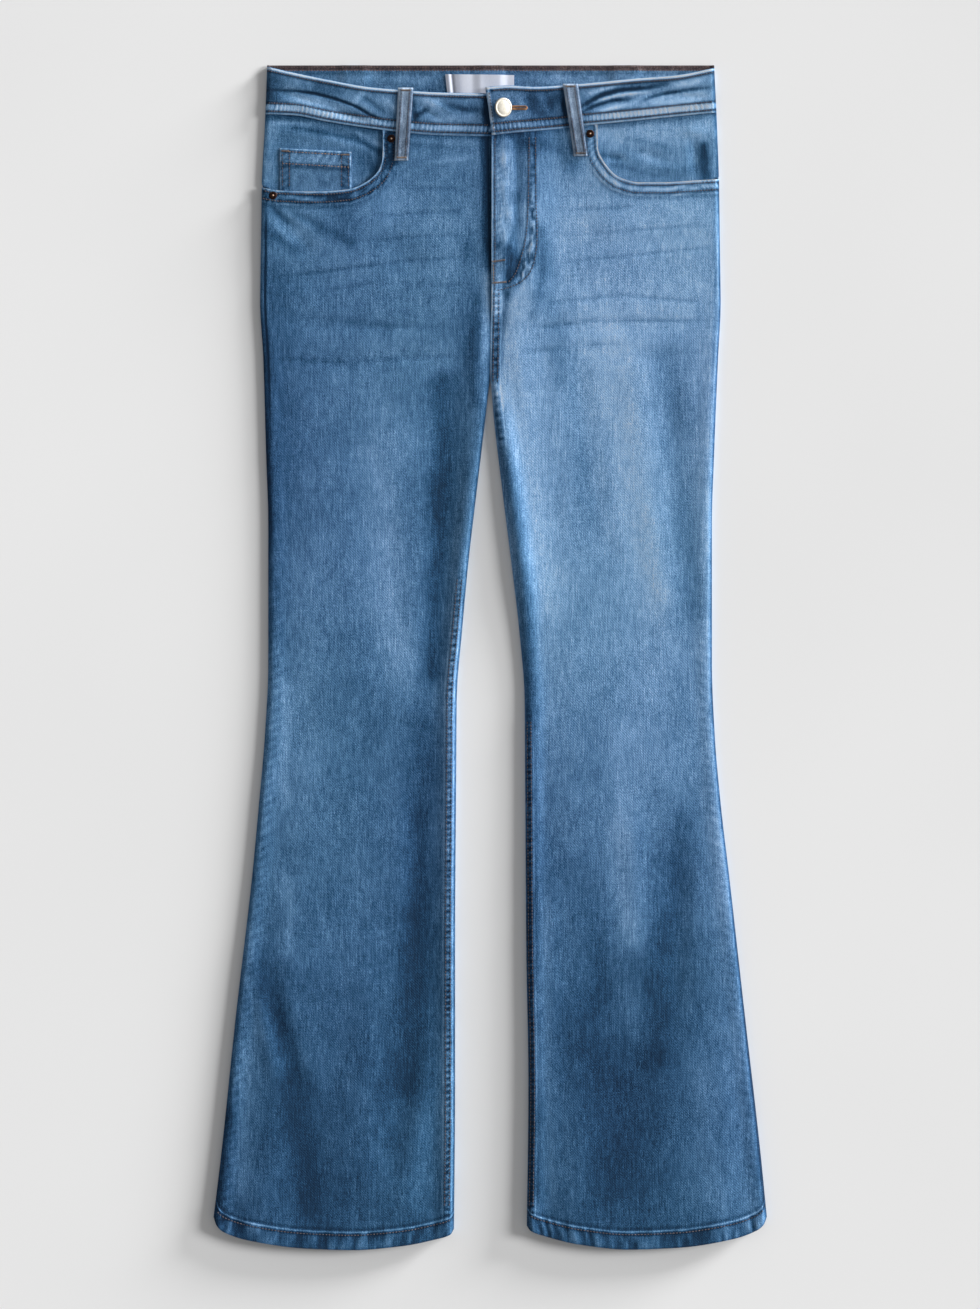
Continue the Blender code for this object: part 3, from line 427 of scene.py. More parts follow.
def creases(rows, out, down):
    total = np.zeros(np.broadcast(out, down).shape)
    for out0, down0, out1, down1, width, rise in rows:
        dx, dy = out1 - out0, down1 - down0
        length = np.hypot(dx, dy)
        along = ((out - out0) * dx + (down - down0) * dy) / length
        across = ((out - out0) * dy - (down - down0) * dx) / length
        fade = min(0.35 * length, 60.0)
        share = ramp(along, -0.3 * fade, fade) * (1 - ramp(along, length - fade, length + 0.3 * fade))
        total = total + rise * share * np.exp(-((across / width) ** 2))
    return total


def front_up(side, out, down):
    """Height of the front's outer face: the same as the solids'."""
    up = line(FRONT_HEIGHT["down"], FRONT_HEIGHT["up"], down) + creases(CREASES[side], out, down)
    up = up + 0.6 * hill(outer_edge(side, down) - out, 7, 7) * ramp(down, 210, 300)
    up = up + 1.9 * hill(out - back_inner_edge(side, down), 7, 8) * ramp(down, CROTCH - 20, 430)
    from_edge = np.minimum(outer_edge(side, down) - out, out - back_inner_edge(side, down))
    up = up + line(FLARE["down"], FLARE["up"], down) * ramp(from_edge, 4, FLARE["edge"])
    up = up + 0.9 * ramp(out, 80, 110) * ramp(down, 70, 95) * (1 - ramp(down, 140, 200))
    if side == LEFT:
        up = up + FLY_RAISE * (1 - ramp(out, 36, 66)) * (1 - ramp(down, FLY_END, FLY_END + 45))
    return up


def back_band_low(x):
    return 41.0 + 3.5 * (np.asarray(x, float) / 206.0) ** 2


def yoke_seam(x):
    return mix(YOKE_AT_CENTRE, YOKE_AT_SIDE, np.abs(x) / 209.0)


def back_up(x, down):
    """Height of the back's underside: it lies on the floor but for its pockets and loops."""
    p = BACK_POCKET
    pocket = 1 - ramp(np.abs(np.abs(x) - p["out"]), p["top_half"] + 2, p["top_half"] + 14)
    pocket = pocket * ramp(down, p["top"] - 14, p["top"] - 4)
    pocket = pocket * (1 - ramp(down, p["point"] + 2, p["point"] + 16))
    loops = 1 - ramp(np.min([np.abs(x - at) for at in BACK_LOOPS.values()], axis=0), *LOOP_FADE)
    loops = loops * (1 - ramp(down - back_band_low(x) - LOOP_BELOW_BAND, 4, 16))
    return PATCH_LIFT * np.maximum(pocket, loops)


def facing_up(out, down):
    return FACING_TOP + 0.6 * (1 - ramp(down, 58, 80)) * ramp(out, 110, 130)


# ---- meshes ----

def place(points):
    """(x, down, up) in millimetres to metres in the frame."""
    points = np.asarray(points, float)
    return np.stack([points[..., 0], LENGTH / 2 - points[..., 1], points[..., 2]], axis=-1) * MM


def add_mesh(name, points, faces, material, smooth_under=60):
    mesh = bpy.data.meshes.new(name)
    mesh.from_pydata(points.tolist(), [], faces)
    mesh.materials.append(material)
    mesh.shade_smooth()
    mesh.set_sharp_from_angle(angle=radians(smooth_under))
    obj = bpy.data.objects.new(name, mesh)
    bpy.context.collection.objects.link(obj)
    return obj


def wall(name, outer, inner, fade, material, front=True, holes=None):
    """Closed wall between two grids of (x, down, up); fade is its tone, the wash with painted shade and
    highlight, kept as an attribute.
    """
    rows, columns = outer.shape[:2]
    number = np.arange(rows * columns).reshape(rows, columns)
    quads = np.stack([number[:-1, :-1], number[:-1, 1:], number[1:, 1:], number[1:, :-1]], axis=-1)
    quads = quads[np.ones(quads.shape[:2], bool) if holes is None else ~holes]
    under = rows * columns
    starts, ends = quads.ravel(), np.roll(quads, -1, axis=1).ravel()
    border = ~np.isin(starts * under + ends, ends * under + starts)
    rim = np.stack([ends[border], starts[border], starts[border] + under, ends[border] + under], axis=-1)
    faces = np.concatenate([quads, quads[:, ::-1] + under, rim])
    (x0, y0, _), (x1, y1, _), (x2, y2, _) = outer[0, 0], outer[0, -1], outer[-1, 0]
    if ((x1 - x0) * (y2 - y0) - (y1 - y0) * (x2 - x0) > 0) == front:
        faces = faces[:, ::-1]
    points = np.concatenate([outer.reshape(-1, 3), inner.reshape(-1, 3)])
    used, faces = np.unique(faces, return_inverse=True)
    obj = add_mesh(name, place(points[used]), faces.reshape(-1, 4).tolist(), material)
    fade = np.broadcast_to(fade, (rows, columns)).ravel()
    attribute = obj.data.attributes.new("fade", "FLOAT", "POINT")
    attribute.data.foreach_set("value", np.concatenate([fade, fade])[used].astype(np.float32))
    return obj


ROLL_ANGLES = np.array([0, 12, 24, 36, 48, 60, 70, 80, 90])
ROLL_OUTER = ROLL * (1 - np.cos(np.radians(ROLL_ANGLES)))


def roll_inset(angles, thick):
    angles = np.radians(angles)
    return ROLL - (ROLL - thick) * np.cos(angles) - ROLL * (1 - np.cos(angles))


def edge_columns(spacing, reach):
    """Distances in from an edge: the roll, then even steps."""
    return np.concatenate([ROLL_OUTER, np.arange(ROLL + spacing, reach, spacing)])


def row_distances(length, corner, near, far, before, after):
    """Columns of a row of that length: edge, to the corner, on, edge."""
    first = np.linspace(near[-1], corner, before + 1)[1:]
    second = np.linspace(corner, length - far[-1], after + 1)[1:-1]
    return np.concatenate([near, first, second, length - far[::-1]])


def along_path(points, distances):
    points = np.asarray(points, float)
    reach = np.concatenate([[0], np.cumsum(np.hypot(*np.diff(points, axis=0).T))])
    return np.stack([line(reach, points[:, 0], distances), line(reach, points[:, 1], distances)], axis=-1)


def path_length(points):
    return float(np.hypot(*np.diff(np.asarray(points, float), axis=0).T).sum())


def mouth_path(side):
    """The pocket mouth, then the waist seam, from the side to the fly, as (x, down)."""
    mouth, band = MOUTH[side], FRONT_BAND[side]
    corner = mouth["out"][-1]
    points = [(side * out, down) for out, down in zip(mouth["out"][:-1], mouth["down"][:-1])]
    points.append((side * corner, float(line(band["out"], band["low"], corner)) + GAP))
    inner = float(front_inner_edge(side, 64.0))
    for share in (0.25, 0.5, 0.75, 1.0):
        out = mix(corner, inner, share)
        points.append((side * out, float(line(band["out"], band["low"], out)) + GAP))
    return points, path_length(points[:8]), path_length(points)


def leg_rows(side, downs, inner_edge, near, far, before, after, corner_share):
    """x, down, distance in from the outer edge and row length, for rows across a leg."""
    grids = []
    for down in downs:
        out0, out1 = float(outer_edge(side, down)), float(inner_edge(side, down))
        length = out0 - out1
        at = row_distances(length, corner_share * length, near, far, before, after)
        share = at / length
        bow = ramp(down, 860, HEM_FOOT)
        drop = bow * line(HEM["share"], HEM[side], share)
        x = side * mix(out0, out1, share)
        grids.append(np.stack([x, down + drop, at, np.full_like(at, length)], axis=-1))
    return np.array(grids)


def leg_downs(hem, step, hem_step):
    """Rows down a leg, closer together over its last stretch above the hem."""
    foot = HEM_FOOT - hem
    return np.concatenate([np.arange(TOP_ROW, foot, step), np.arange(foot, HEM_FOOT + 0.1, hem_step)])


def panel_grid(side, points, corner, columns, shares, downs, inner_edge, corner_share):
    """Rows from the line of points down to the hem.

    Gives x, down, distance in from the outer edge, row length, each row's base and the height above the hem.
    """
    length = path_length(points)
    top_at = row_distances(length, corner, *columns)
    top = along_path(points, top_at)
    legs = leg_rows(side, downs, inner_edge, *columns, corner_share)
    upper = []
    for share in shares:
        places = mix(top, legs[0, :, :2], share).T
        row_length = np.full(len(top_at), mix(length, legs[0, 0, 3], share))
        upper.append(np.stack([*places, mix(top_at, legs[0, :, 2], share), row_length], axis=-1))
    x, down, at, row_length = np.moveaxis(np.concatenate([np.array(upper), legs]), -1, 0)
    base = np.concatenate([np.full(len(shares), TOP_ROW), downs])
    hem_drop = line(HEM["share"], HEM[side], at / row_length)
    from_hem = np.where(base[:, None] > 900, (HEM_FOOT + hem_drop) - down, FAR)
    return x, down, at, row_length, base, from_hem


def seam_up(down, above=GAP / 2):
    return line(SEAM_HEIGHT["down"], SEAM_HEIGHT["up"], down) + above


def rolled(x, down, at, share_first, share_last, top, low, above=GAP / 2):
    """Outer and inner grids, with the columns of both edges rolled into the seam by their row's share."""
    seam = seam_up(down, above)
    count = len(ROLL_ANGLES)
    step = np.full(x.shape[1], 90.0)
    step[:count] = ROLL_ANGLES
    step[-count:] = ROLL_ANGLES[::-1]
    share = np.zeros(x.shape)
    share[:, :count] = np.reshape(share_first, (-1, 1))
    share[:, -count:] = np.reshape(share_last, (-1, 1))
    lift = np.sin(np.radians(step))
    outer = np.stack([x, down, mix(top, seam + (top - seam) * lift, share)], axis=-1)
    inset = roll_inset(step, np.abs(top - low).mean()) * share
    inset[:, -count:] *= -1
    in_x, in_down = x.copy(), down.copy()
    for row in range(x.shape[0]):
        moved = at[row] + inset[row]
        in_x[row] = np.interp(moved, at[row], x[row])
        in_down[row] = np.interp(moved, at[row], down[row])
    inner = np.stack([in_x, in_down, mix(low, seam + (low - seam) * lift, share)], axis=-1)
    return outer, inner


# ---- relief, wear and painted shade: each look gives what it adds to the height and to the fade ----

def rope(along, across, period, seed):
    """Puckers of a sewn edge: slanting waves of uneven length and height, from -1 to 1."""
    phase = (along + 0.55 * across) / period + 0.55 * noise(along, across * 0, 4.5 * period, seed)
    height = 0.75 + 0.35 * noise(along, across * 0, 2.3 * period, seed + 1)
    return np.sin(2 * pi * phase) * height


def band_between(value, low, high, soft):
    """1 between low and high, with soft edges."""
    return ramp(value, low - soft, low + soft) * (1 - ramp(value, high - soft, high + soft))


def strokes(rows, out, down, wander=1.0, taper=False):
    """Soft strokes along lines, drawn a little unsteadily, with round ends or ends that fade out."""
    out, down = out + 2.2 * wander * noise(out, down, 48, 6), down + 6 * wander * noise(out, down, 70, 7)
    total = np.zeros(np.broadcast(out, down).shape)
    for amount, outside, inside, *points in rows:
        share = np.zeros_like(total)
        for place, ((out0, down0), (out1, down1)) in enumerate(zip(points, points[1:])):
            dx, dy = out1 - out0, down1 - down0
            t = np.clip(((out - out0) * dx + (down - down0) * dy) / (dx * dx + dy * dy), 0, 1)
            px, py = out - out0 - t * dx, down - down0 - t * dy
            width = np.where(px * dy - py * dx > 0, outside, inside)
            spot = np.exp(-(px * px + py * py) / (width * width))
            if taper:
                along = (place + t) / (len(points) - 1)
                spot = spot * np.clip(0.25 + 3.2 * np.minimum(along, 1 - along), 0, 1.1)
            share = np.maximum(share, spot)
        total = total + amount * share * (1 + 0.12 * noise(out, down, 40, 8))
    return total


def wash_and_shade(side, out, down):
    # each leg's tone and strokes: partly the wash, partly painted shade and highlight
    total = line(LEG_TONE["down"], LEG_TONE[side], down) + strokes(WASH_AND_SHADE_STROKES[side], out, down)
    total = total + 0.04 * noise(out, down, 46, 3 + side) + 0.04 * noise(out * 1.8, down, 19, 5 + side)
    total = total + 0.03 * noise(out * 1.5, down, 7, 9 + side)
    # the fine creases darken their troughs and lighten their ridges: painted shade and highlight
    total = total + 0.55 * np.clip(creases(FINE_CREASES[side], out, down), -0.5, 0.5)
    return np.where(total > 0.8, 0.8 + 0.4 * (total - 0.8), total)


def seat(distance, rows, depth=0.28, width=1.1):
    """How much darker the cloth is under rows of stitches at those distances."""
    return -depth * sum(hill(distance, row, width) for row in rows)


def rope_seam(from_edge, along, low, high, period, seed):
    """A flat felled seam whose two rows of stitches lie near low and high from the edge."""
    inside = band_between(from_edge, low, high, 0.8)
    waves = rope(along, 0.25 * from_edge, period, seed)
    blobs = np.clip(waves, -0.25, 1) * hill(from_edge, (low + high) / 2, 0.42 * (high - low))
    fade = 0.12 * inside - 0.60 * blobs + hills(from_edge, ((0.30, high + 1.2, 1.0), (0.16, low - 1.0, 0.9)))
    return inside * (0.35 - 0.5 * blobs), fade + inside * seat(from_edge, (low + 0.8, high - 0.8), 0.16)


def mouth_look(side, out, down, gap, along):
    """Pocket mouth: a turned band with two rows of stitches."""
    waves = rope(along, gap, 4.3, 21 + side)
    inside = 1 - ramp(gap, 11.7, 12.9)
    up = inside * (0.42 + 0.12 * waves - hills(gap, ((0.25, 2.6, 0.7), (0.25, 9.6, 0.7))))
    if side == RIGHT:
        worn = 0.20 * waves - 0.15 + 0.20 * noise(out, down, 2.6, 22)
    else:
        worn = 0.17 * waves + 0.16 * hill(gap, 5.5, 2.5)
    depth = 0.30 if side == RIGHT else 0.42
    return up, hills(gap, MOUTH_FADE) + inside * (worn + seat(gap, (2.9, 9.6), depth, 1.4))


def hem_waves(out, from_hem, seeds):
    """Where the turned hem is, and the waves that its stitches give it."""
    waves = 1.3 * noise(out + 0.25 * from_hem, 0.2 * from_hem, 3.6, seeds[0])
    waves = waves + 0.5 * noise(out, 0.3 * from_hem, 9, seeds[1])
    return 1 - ramp(from_hem, HEM_DEPTH - 0.6, HEM_DEPTH + 0.6), waves


def hem_look(side, out, from_hem):
    inside, waves = hem_waves(out, from_hem, (32 + side, 31 + side))
    up = inside * (0.5 + 0.45 * waves * ramp(from_hem, 0, 4)) - 0.3 * hill(from_hem, HEM_DEPTH - HEM_ROW, 0.9)
    fade = inside * (0.22 * waves + 0.10 * noise(out, from_hem, 12, 33 + side)) + hills(from_hem, HEM_FADE)
    return up, fade - 0.2 * hill(from_hem, 0, 1.2)


def inseam_look(side, down, from_inner, from_hem):
    """Flat felled, just inside the edge, once it has come round to the front."""
    shows = ramp(down, 440, 520) if side == RIGHT else ramp(down, 560, 640)
    shows = shows * (from_hem > HEM_DEPTH)
    up, fade = rope_seam(from_inner, down, *INSEAM_ROWS[side], 6.4, 41 + side)
    if side == RIGHT:
        fade = fade + hills(from_inner, INSEAM_FADE)
    return shows * up, shows * fade


def side_seam_look(side, down, from_outer):
    """A groove near the edge, which turns under further down."""
    shows = ramp(down, 118, 150) * (1 - ramp(down, 260, 360)) * (1.0 if side == RIGHT else 0.4)
    puckers = 0.10 * rope(down, from_outer, 9, 44) * hill(from_outer, 8, 5) * ramp(down, 430, 560)
    return -0.4 * shows * hill(from_outer, 4.2, 0.9), shows * hills(from_outer, SIDE_SEAM_FADE) + puckers


def centre_seam_look(out, down, from_inner):
    """The seam from the fly to the crotch, with painted shade on it, and the ridge beside it."""
    ridge = 3.0 * hill(from_inner, 10, 9) * band_between(down, 320, 500, 50)
    shows = band_between(down, FLY_END, CROTCH + 60, 8)
    up, fade = rope_seam(from_inner, down, 1.6, 7.6, 6.8, 47)
    seam_end = mix(9.9, 8.4, ramp(down, FLY_END, 280))
    in_shade = (1 - ramp(from_inner, seam_end - 0.8, seam_end + 0.8)) * ramp(from_inner, 0.4, 1.6)
    shade = 0.42 * band_between(down, 229, 290, 7) + 0.12 * shows * noise(out, down, 2.2, 54)
    return ridge + shows * up, shows * fade - in_shade * shade


def fly_curve(row, down):
    """Distance out of the outer or the inner row of the fly's stitching."""
    return line(FLY_CURVE["down"], FLY_CURVE[row], down)


def fly_look(out, down, from_inner):
    """The fly's edge row, the puckers beside it, and the roped band between the two rows of the curve."""
    on_fly = 1 - ramp(down, FLY_END - 6, FLY_END + 2)
    beside = hill(from_inner, 15, 9)
    puckers = noise(out * 1.6, down * 0.55, 6.5, 49) + 0.6 * noise(out * 2.2, down * 0.8, 3.0, 48)
    up = 0.5 * hill(from_inner, 14, 6) * band_between(down, 72, 185, 12) - 0.45 * hill(out, 25, 4)
    up = on_fly * (up + 0.3 * puckers * beside)
    outer_row, inner_row = fly_curve("outer", down), fly_curve("inner", down)
    across = (out - (outer_row + inner_row) / 2) / (outer_row - inner_row)
    fade = beside * (0.08 * band_between(down, 76, 170, 16) + 0.13 * puckers) - 0.10 * hill(out, 24, 5)
    fade = fade + seat(from_inner, (3.2,), 0.24)
    fade = fade + 0.12 * rope(down, from_inner, 6.5, 50) * hill(from_inner, 6.5, 3)
    fade = on_fly * (fade - hills(across, ((0.20, -0.5, 0.16), (0.20, 0.5, 0.16))))
    near = hill(across, 0.05, 0.42) * on_fly * (down > 64)
    waves = 0.6 * noise(out, down, 5.0, 51) + 1.3 * noise(out, down, 2.0, 53)
    waves = waves * (0.35 + 0.65 * ramp(down, 80, 150))
    worn = 0.55 * np.clip(waves, -0.7, 0.55) - 0.16 + 0.16 * ramp(down, 120, 150)
    edge = 0.28 * hill(from_inner, 0, 1.0) * (down < FLY_END + 20)
    return up + near * (0.30 + 0.50 * waves), fade + near * worn + edge


def under_fly_look(down, from_inner):
    """The right panel's painted shadow beside the edge that laps over it, and the light strip below."""
    shade = -0.42 * (1 - ramp(from_inner, 3, 10)) * (1 - ramp(down, FLY_END - 40, FLY_END - 5))
    return 0.0, shade + 0.26 * (1 - ramp(from_inner, 5, 11)) * band_between(down, FLY_END - 14, 268, 12)


def front_detail(side, out, down, from_outer, from_inner, mouth_gap, mouth_along, from_hem):
    """What the front's relief and fade have beyond the solids' form."""
    up = 0.9 * creases(FINE_CREASES[side], out, down)
    up = up + 0.16 * noise(out, down, 24, 11 + side) + 0.07 * noise(out, down * 0.4, 7, 12 + side)
    fade = wash_and_shade(side, out, down)
    looks = [
        mouth_look(side, out, down, mouth_gap, mouth_along),
        hem_look(side, out, from_hem),
        inseam_look(side, down, from_inner, from_hem),
        side_seam_look(side, down, from_outer),
    ]
    if side == LEFT:
        looks += [centre_seam_look(out, down, from_inner), fly_look(out, down, from_inner)]
    else:
        looks.append(under_fly_look(down, from_inner))
    for more_up, more_fade in looks:
        up, fade = up + more_up, fade + more_fade
    return up, fade


# ---- materials ----

def srgb(red, green, blue):
    channels = np.array([red, green, blue]) / 255.0
    linear = np.where(channels <= 0.04045, channels / 12.92, ((channels + 0.055) / 1.055) ** 2.4)
    return tuple(linear) + (1.0,)


class Nodes:
    """Adds and links shader nodes of one material."""

    def __init__(self, name):
        self.material = bpy.data.materials.new(name)
        self.material.use_nodes = True
        self.tree = self.material.node_tree
        self.where = self.add("ShaderNodeTexCoord").outputs["Object"]

    def connect(self, node, inputs):
        """Sets inputs to numbers and links them to sockets."""
        for key, value in inputs.items():
            if isinstance(value, bpy.types.NodeSocket):
                self.tree.links.new(value, node.inputs[key])
            else:
                node.inputs[key].default_value = value

    def add(self, kind, inputs=None, **settings):
        node = self.tree.nodes.new(kind)
        for key, value in settings.items():
            setattr(node, key, value)
        self.connect(node, inputs or {})
        return node

    def surface(self, inputs):
        self.connect(self.tree.nodes["Principled BSDF"], inputs)
        return self.material

    def maths(self, operation, a, b=0.0):
        return self.add("ShaderNodeMath", {0: a, 1: b}, operation=operation).outputs[0]

    def times(self, a, b):
        return self.maths("MULTIPLY", a, b)

    def texture(self, scale, detail=2.0, rough=0.5):
        """Noise from -0.5 to 0.5; scale is its lumps a metre along each axis."""
        mapping = self.add("ShaderNodeMapping", {"Vector": self.where, "Scale": scale})
        inputs = {"Vector": mapping.outputs[0], "Scale": 1.0, "Detail": detail, "Roughness": rough}
        return self.maths("SUBTRACT", self.add("ShaderNodeTexNoise", inputs).outputs["Fac"], 0.5)

    def twill(self, scale, distortion=0.0, detail=2.0):
        inputs = {"Vector": self.where, "Scale": scale, "Distortion": distortion, "Detail": detail}
        return self.add("ShaderNodeTexWave", inputs, bands_direction="DIAGONAL").outputs["Fac"]

    def bump(self, strength, distance, height):
        inputs = {"Strength": strength, "Distance": distance, "Height": height}
        return self.add("ShaderNodeBump", inputs).outputs[0]

    def ramp(self, value, stops):
        node = self.add("ShaderNodeValToRGB", {"Fac": value})
        elements = node.color_ramp.elements
        while len(elements) < len(stops):
            elements.new(0.5)
        for element, (position, colour) in zip(elements, stops):
            element.position, element.color = position, srgb(*colour)
        return node.outputs["Color"]


# The colours of a material from its darkest to its lightest: position, then red, green and blue of 255
DENIM_RAMP = (
    (0.00, (8, 36, 62)), (0.15, (21, 58, 92)), (0.30, (40, 79, 117)), (0.45, (62, 101, 139)),
    (0.60, (86, 124, 164)), (0.75, (110, 149, 191)), (0.88, (134, 170, 208)), (1.00, (158, 186, 216)),
    (1.12, (174, 179, 186)),
)
RAMP_TOP = 1.12        # the fade at the light end of the denim's ramps
EDGE_RAMP = ((0.0, (26, 24, 28)), (0.4, (56, 50, 54)), (0.7, (88, 74, 76)), (1.0, (150, 140, 138)))
SATIN_RAMP = ((0.1, (116, 120, 134)), (0.5, (188, 194, 210)), (0.9, (232, 236, 246)))
FLOOR_RAMP = ((0.3, (228, 228, 228)), (0.7, (232, 232, 232)))


def denim(name, grain=(1.0, 1.0), slub=1.0, colour=1.0, stops=DENIM_RAMP):
    """Washed denim: fade from the pieces' own marks, which hold painted shade and highlight besides the wash,
    streaked along the warp, over a fine twill.
    """
    n = Nodes(name)
    across, along = grain
    streaks = n.texture((1500 * across, 120 * along, 400), rough=0.6)
    slubs = n.texture((1050 * across, 42 * along, 300), detail=1)
    wefts = n.texture((90 * along, 1100 * across, 300), detail=1)
    cloud = n.texture((300, 110, 150), detail=4, rough=0.75)
    grit = n.texture((1900, 1500, 900), rough=0.75)
    slubs = n.maths("ADD", slubs, n.times(n.maths("MAXIMUM", n.maths("SUBTRACT", slubs, 0.09), 0.0), 0.8))
    total = n.add("ShaderNodeAttribute", attribute_name="fade").outputs["Fac"]
    parts = (streaks, 0.46 * slub), (slubs, 0.32 * slub), (wefts, 0.16), (cloud, 0.38), (grit, 1.45)
    for part, weight in parts:
        total = n.maths("ADD", total, n.times(part, weight))
    shades = [(position / RAMP_TOP, shade) for position, shade in stops]
    hue = n.maths("ADD", n.times(n.texture((5, 3, 3), detail=1), 0.02), 0.498)
    inputs = {"Hue": hue, "Saturation": colour, "Color": n.ramp(n.maths("DIVIDE", total, RAMP_TOP), shades)}
    tinted = n.add("ShaderNodeHueSaturation", inputs).outputs[0]
    relief = n.maths("ADD", n.times(streaks, 0.6), n.times(grit, 0.9))
    relief = n.maths("ADD", relief, n.times(n.twill(260.0, 0.6, 1.0), 0.25))
    inputs = {"Base Color": tinted, "Normal": n.bump(0.6, 0.0005, relief)}
    return n.surface({**inputs, "Roughness": 0.9, "Specular IOR Level": 0.15, "Sheen Weight": 0.06})


def mottled(n, scale, stops, detail=2.0, rough=0.5):
    """A tone about 0.5 and its colour."""
    tone = n.maths("ADD", n.texture((scale, scale, scale), detail, rough), 0.5)
    return tone, n.ramp(tone, stops)


def thread(name, dark, light):
    n = Nodes(name)
    _, colour = mottled(n, 260, ((0.35, dark), (0.65, light)))
    return n.surface({"Base Color": colour, "Normal": n.bump(0.3, 0.0002, n.twill(900.0)), "Roughness": 0.6})


def satin():
    n = Nodes("satin")
    weave = n.texture((2200, 500, 800), detail=1)
    fade = n.add("ShaderNodeAttribute", attribute_name="fade").outputs["Fac"]
    colour = n.ramp(n.maths("ADD", n.times(weave, 0.2), fade), SATIN_RAMP)
    normal = n.bump(0.15, 0.0001, weave)
    return n.surface({"Base Color": colour, "Normal": normal, "Roughness": 0.38, "Sheen Weight": 0.3})


def metal(name, dark, light, roughness):
    n = Nodes(name)
    tone, colour = mottled(n, 900.0, ((0.3, dark), (0.7, light)), detail=3, rough=0.6)
    rough = n.maths("ADD", n.times(tone, 0.15), roughness)
    return n.surface({"Base Color": colour, "Roughness": rough, "Metallic": 1.0})


DENIM = denim("denim")
DENIM_BAND = denim("denim_band", grain=(0.8, 3.0), slub=0.8, colour=0.97)
DENIM_TRIM = denim("denim_trim", grain=(1.0, 2.0), slub=0.8, colour=0.66)
DENIM_EDGE = denim("denim_edge", grain=(0.8, 3.0), slub=0.6, stops=EDGE_RAMP)
THREAD_DARK = thread("thread_dark", (32, 31, 40), (80, 72, 78))
THREAD_TAN = thread("thread_tan", (82, 70, 66), (140, 120, 100))
THREAD_EDGE = thread("thread_edge", (46, 38, 40), (104, 78, 70))
THREAD_HOLE = thread("thread_hole", (86, 60, 42), (150, 108, 68))
SATIN = satin()
NICKEL = metal("nickel", (172, 167, 156), (200, 196, 186), 0.45)
# the caps' dark ring is their metal and the painted shade round them
RIVET_METAL_AND_SHADE = metal("copper", (30, 22, 22), (58, 40, 34), 0.40)
NUB = metal("rivet_nub", (150, 122, 104), (196, 170, 148), 0.5)
BRASS = metal("zip_brass", (120, 96, 58), (172, 142, 92), 0.35)

# Each shell's surface, for the stitches to find
TREES = {}


def dress(obj, node):
    """Stands the shell in for its solid and keeps its surface for the stitches to find."""
    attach(obj, "root")
    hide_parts(node)
    polygons = [tuple(polygon.vertices) for polygon in obj.data.polygons]
    TREES[obj.name] = BVHTree.FromPolygons([vertex.co for vertex in obj.data.vertices], polygons)


# ---- panels ----

def front_panel(side):
    near = edge_columns(1.2, 18)
    far = edge_columns(1.2, 20) if side == RIGHT else edge_columns(1.3, 46)
    points, corner, length = mouth_path(side)
    downs = leg_downs(24, 2.7, 1.2)
    shares = np.concatenate([np.linspace(0, 0.16, 14), np.linspace(0.16, 1, 66)[1:-1]])
    grid = panel_grid(side, points, corner, (near, far, 32, 26), shares, downs, front_inner_edge, 0.56)
    x, down, at, row_length, base, from_hem = grid
    out, from_inner = side * x, row_length - at
    # how far each point is from the pocket mouth and the waist seam, and how far along them
    sample = along_path(points, np.linspace(0, length, 260))
    gap, run = np.full(x.shape, FAR), np.zeros(x.shape)
    close = down < 250
    squares = (x[close][:, None] - sample[:, 0]) ** 2 + (down[close][:, None] - sample[:, 1]) ** 2
    nearest = squares.argmin(axis=1)
    gap[close] = np.sqrt(squares[np.arange(len(nearest)), nearest])
    run[close] = nearest * length / 259
    on_mouth = run < corner + 4
    up, fade = front_detail(side, out, down, at, from_inner, np.where(on_mouth, gap, FAR), run, from_hem)
    # painted shadow along the waist seam, under the waistband's edge
    fade = fade - 0.26 * (1 - ramp(np.where(on_mouth, FAR, gap), 0, 6))
    # painted shade along the right leg's outer edge, which rolls away from the light
    if side == RIGHT:
        fade = fade - 0.24 * hill(at, 1.5, 3.4) * band_between(base, 230, 450, 40)[:, None]
    # painted shade on the edge that rolls towards the light
    shaded_lit_edge = 1 - ramp(from_inner if side == RIGHT else at, 0.4, 2.9)
    fade = fade - (0.30 if side == RIGHT else 0.52) * shaded_lit_edge * ramp(base, 80, 140)[:, None]
    top = front_up(side, out, down) + up * ramp(np.minimum(at, from_inner), 0, 3.5)
    rolls = ramp(base, CROTCH - 16, CROTCH + 13)
    outer, inner = rolled(x, down, at, 1, rolls, top, top - SHELL)
    shell = wall(f"front_{SIDE_NAME[side]}", outer, inner, fade, DENIM)
    dress(shell, f"front_panel_{SIDE_NAME[side]}")


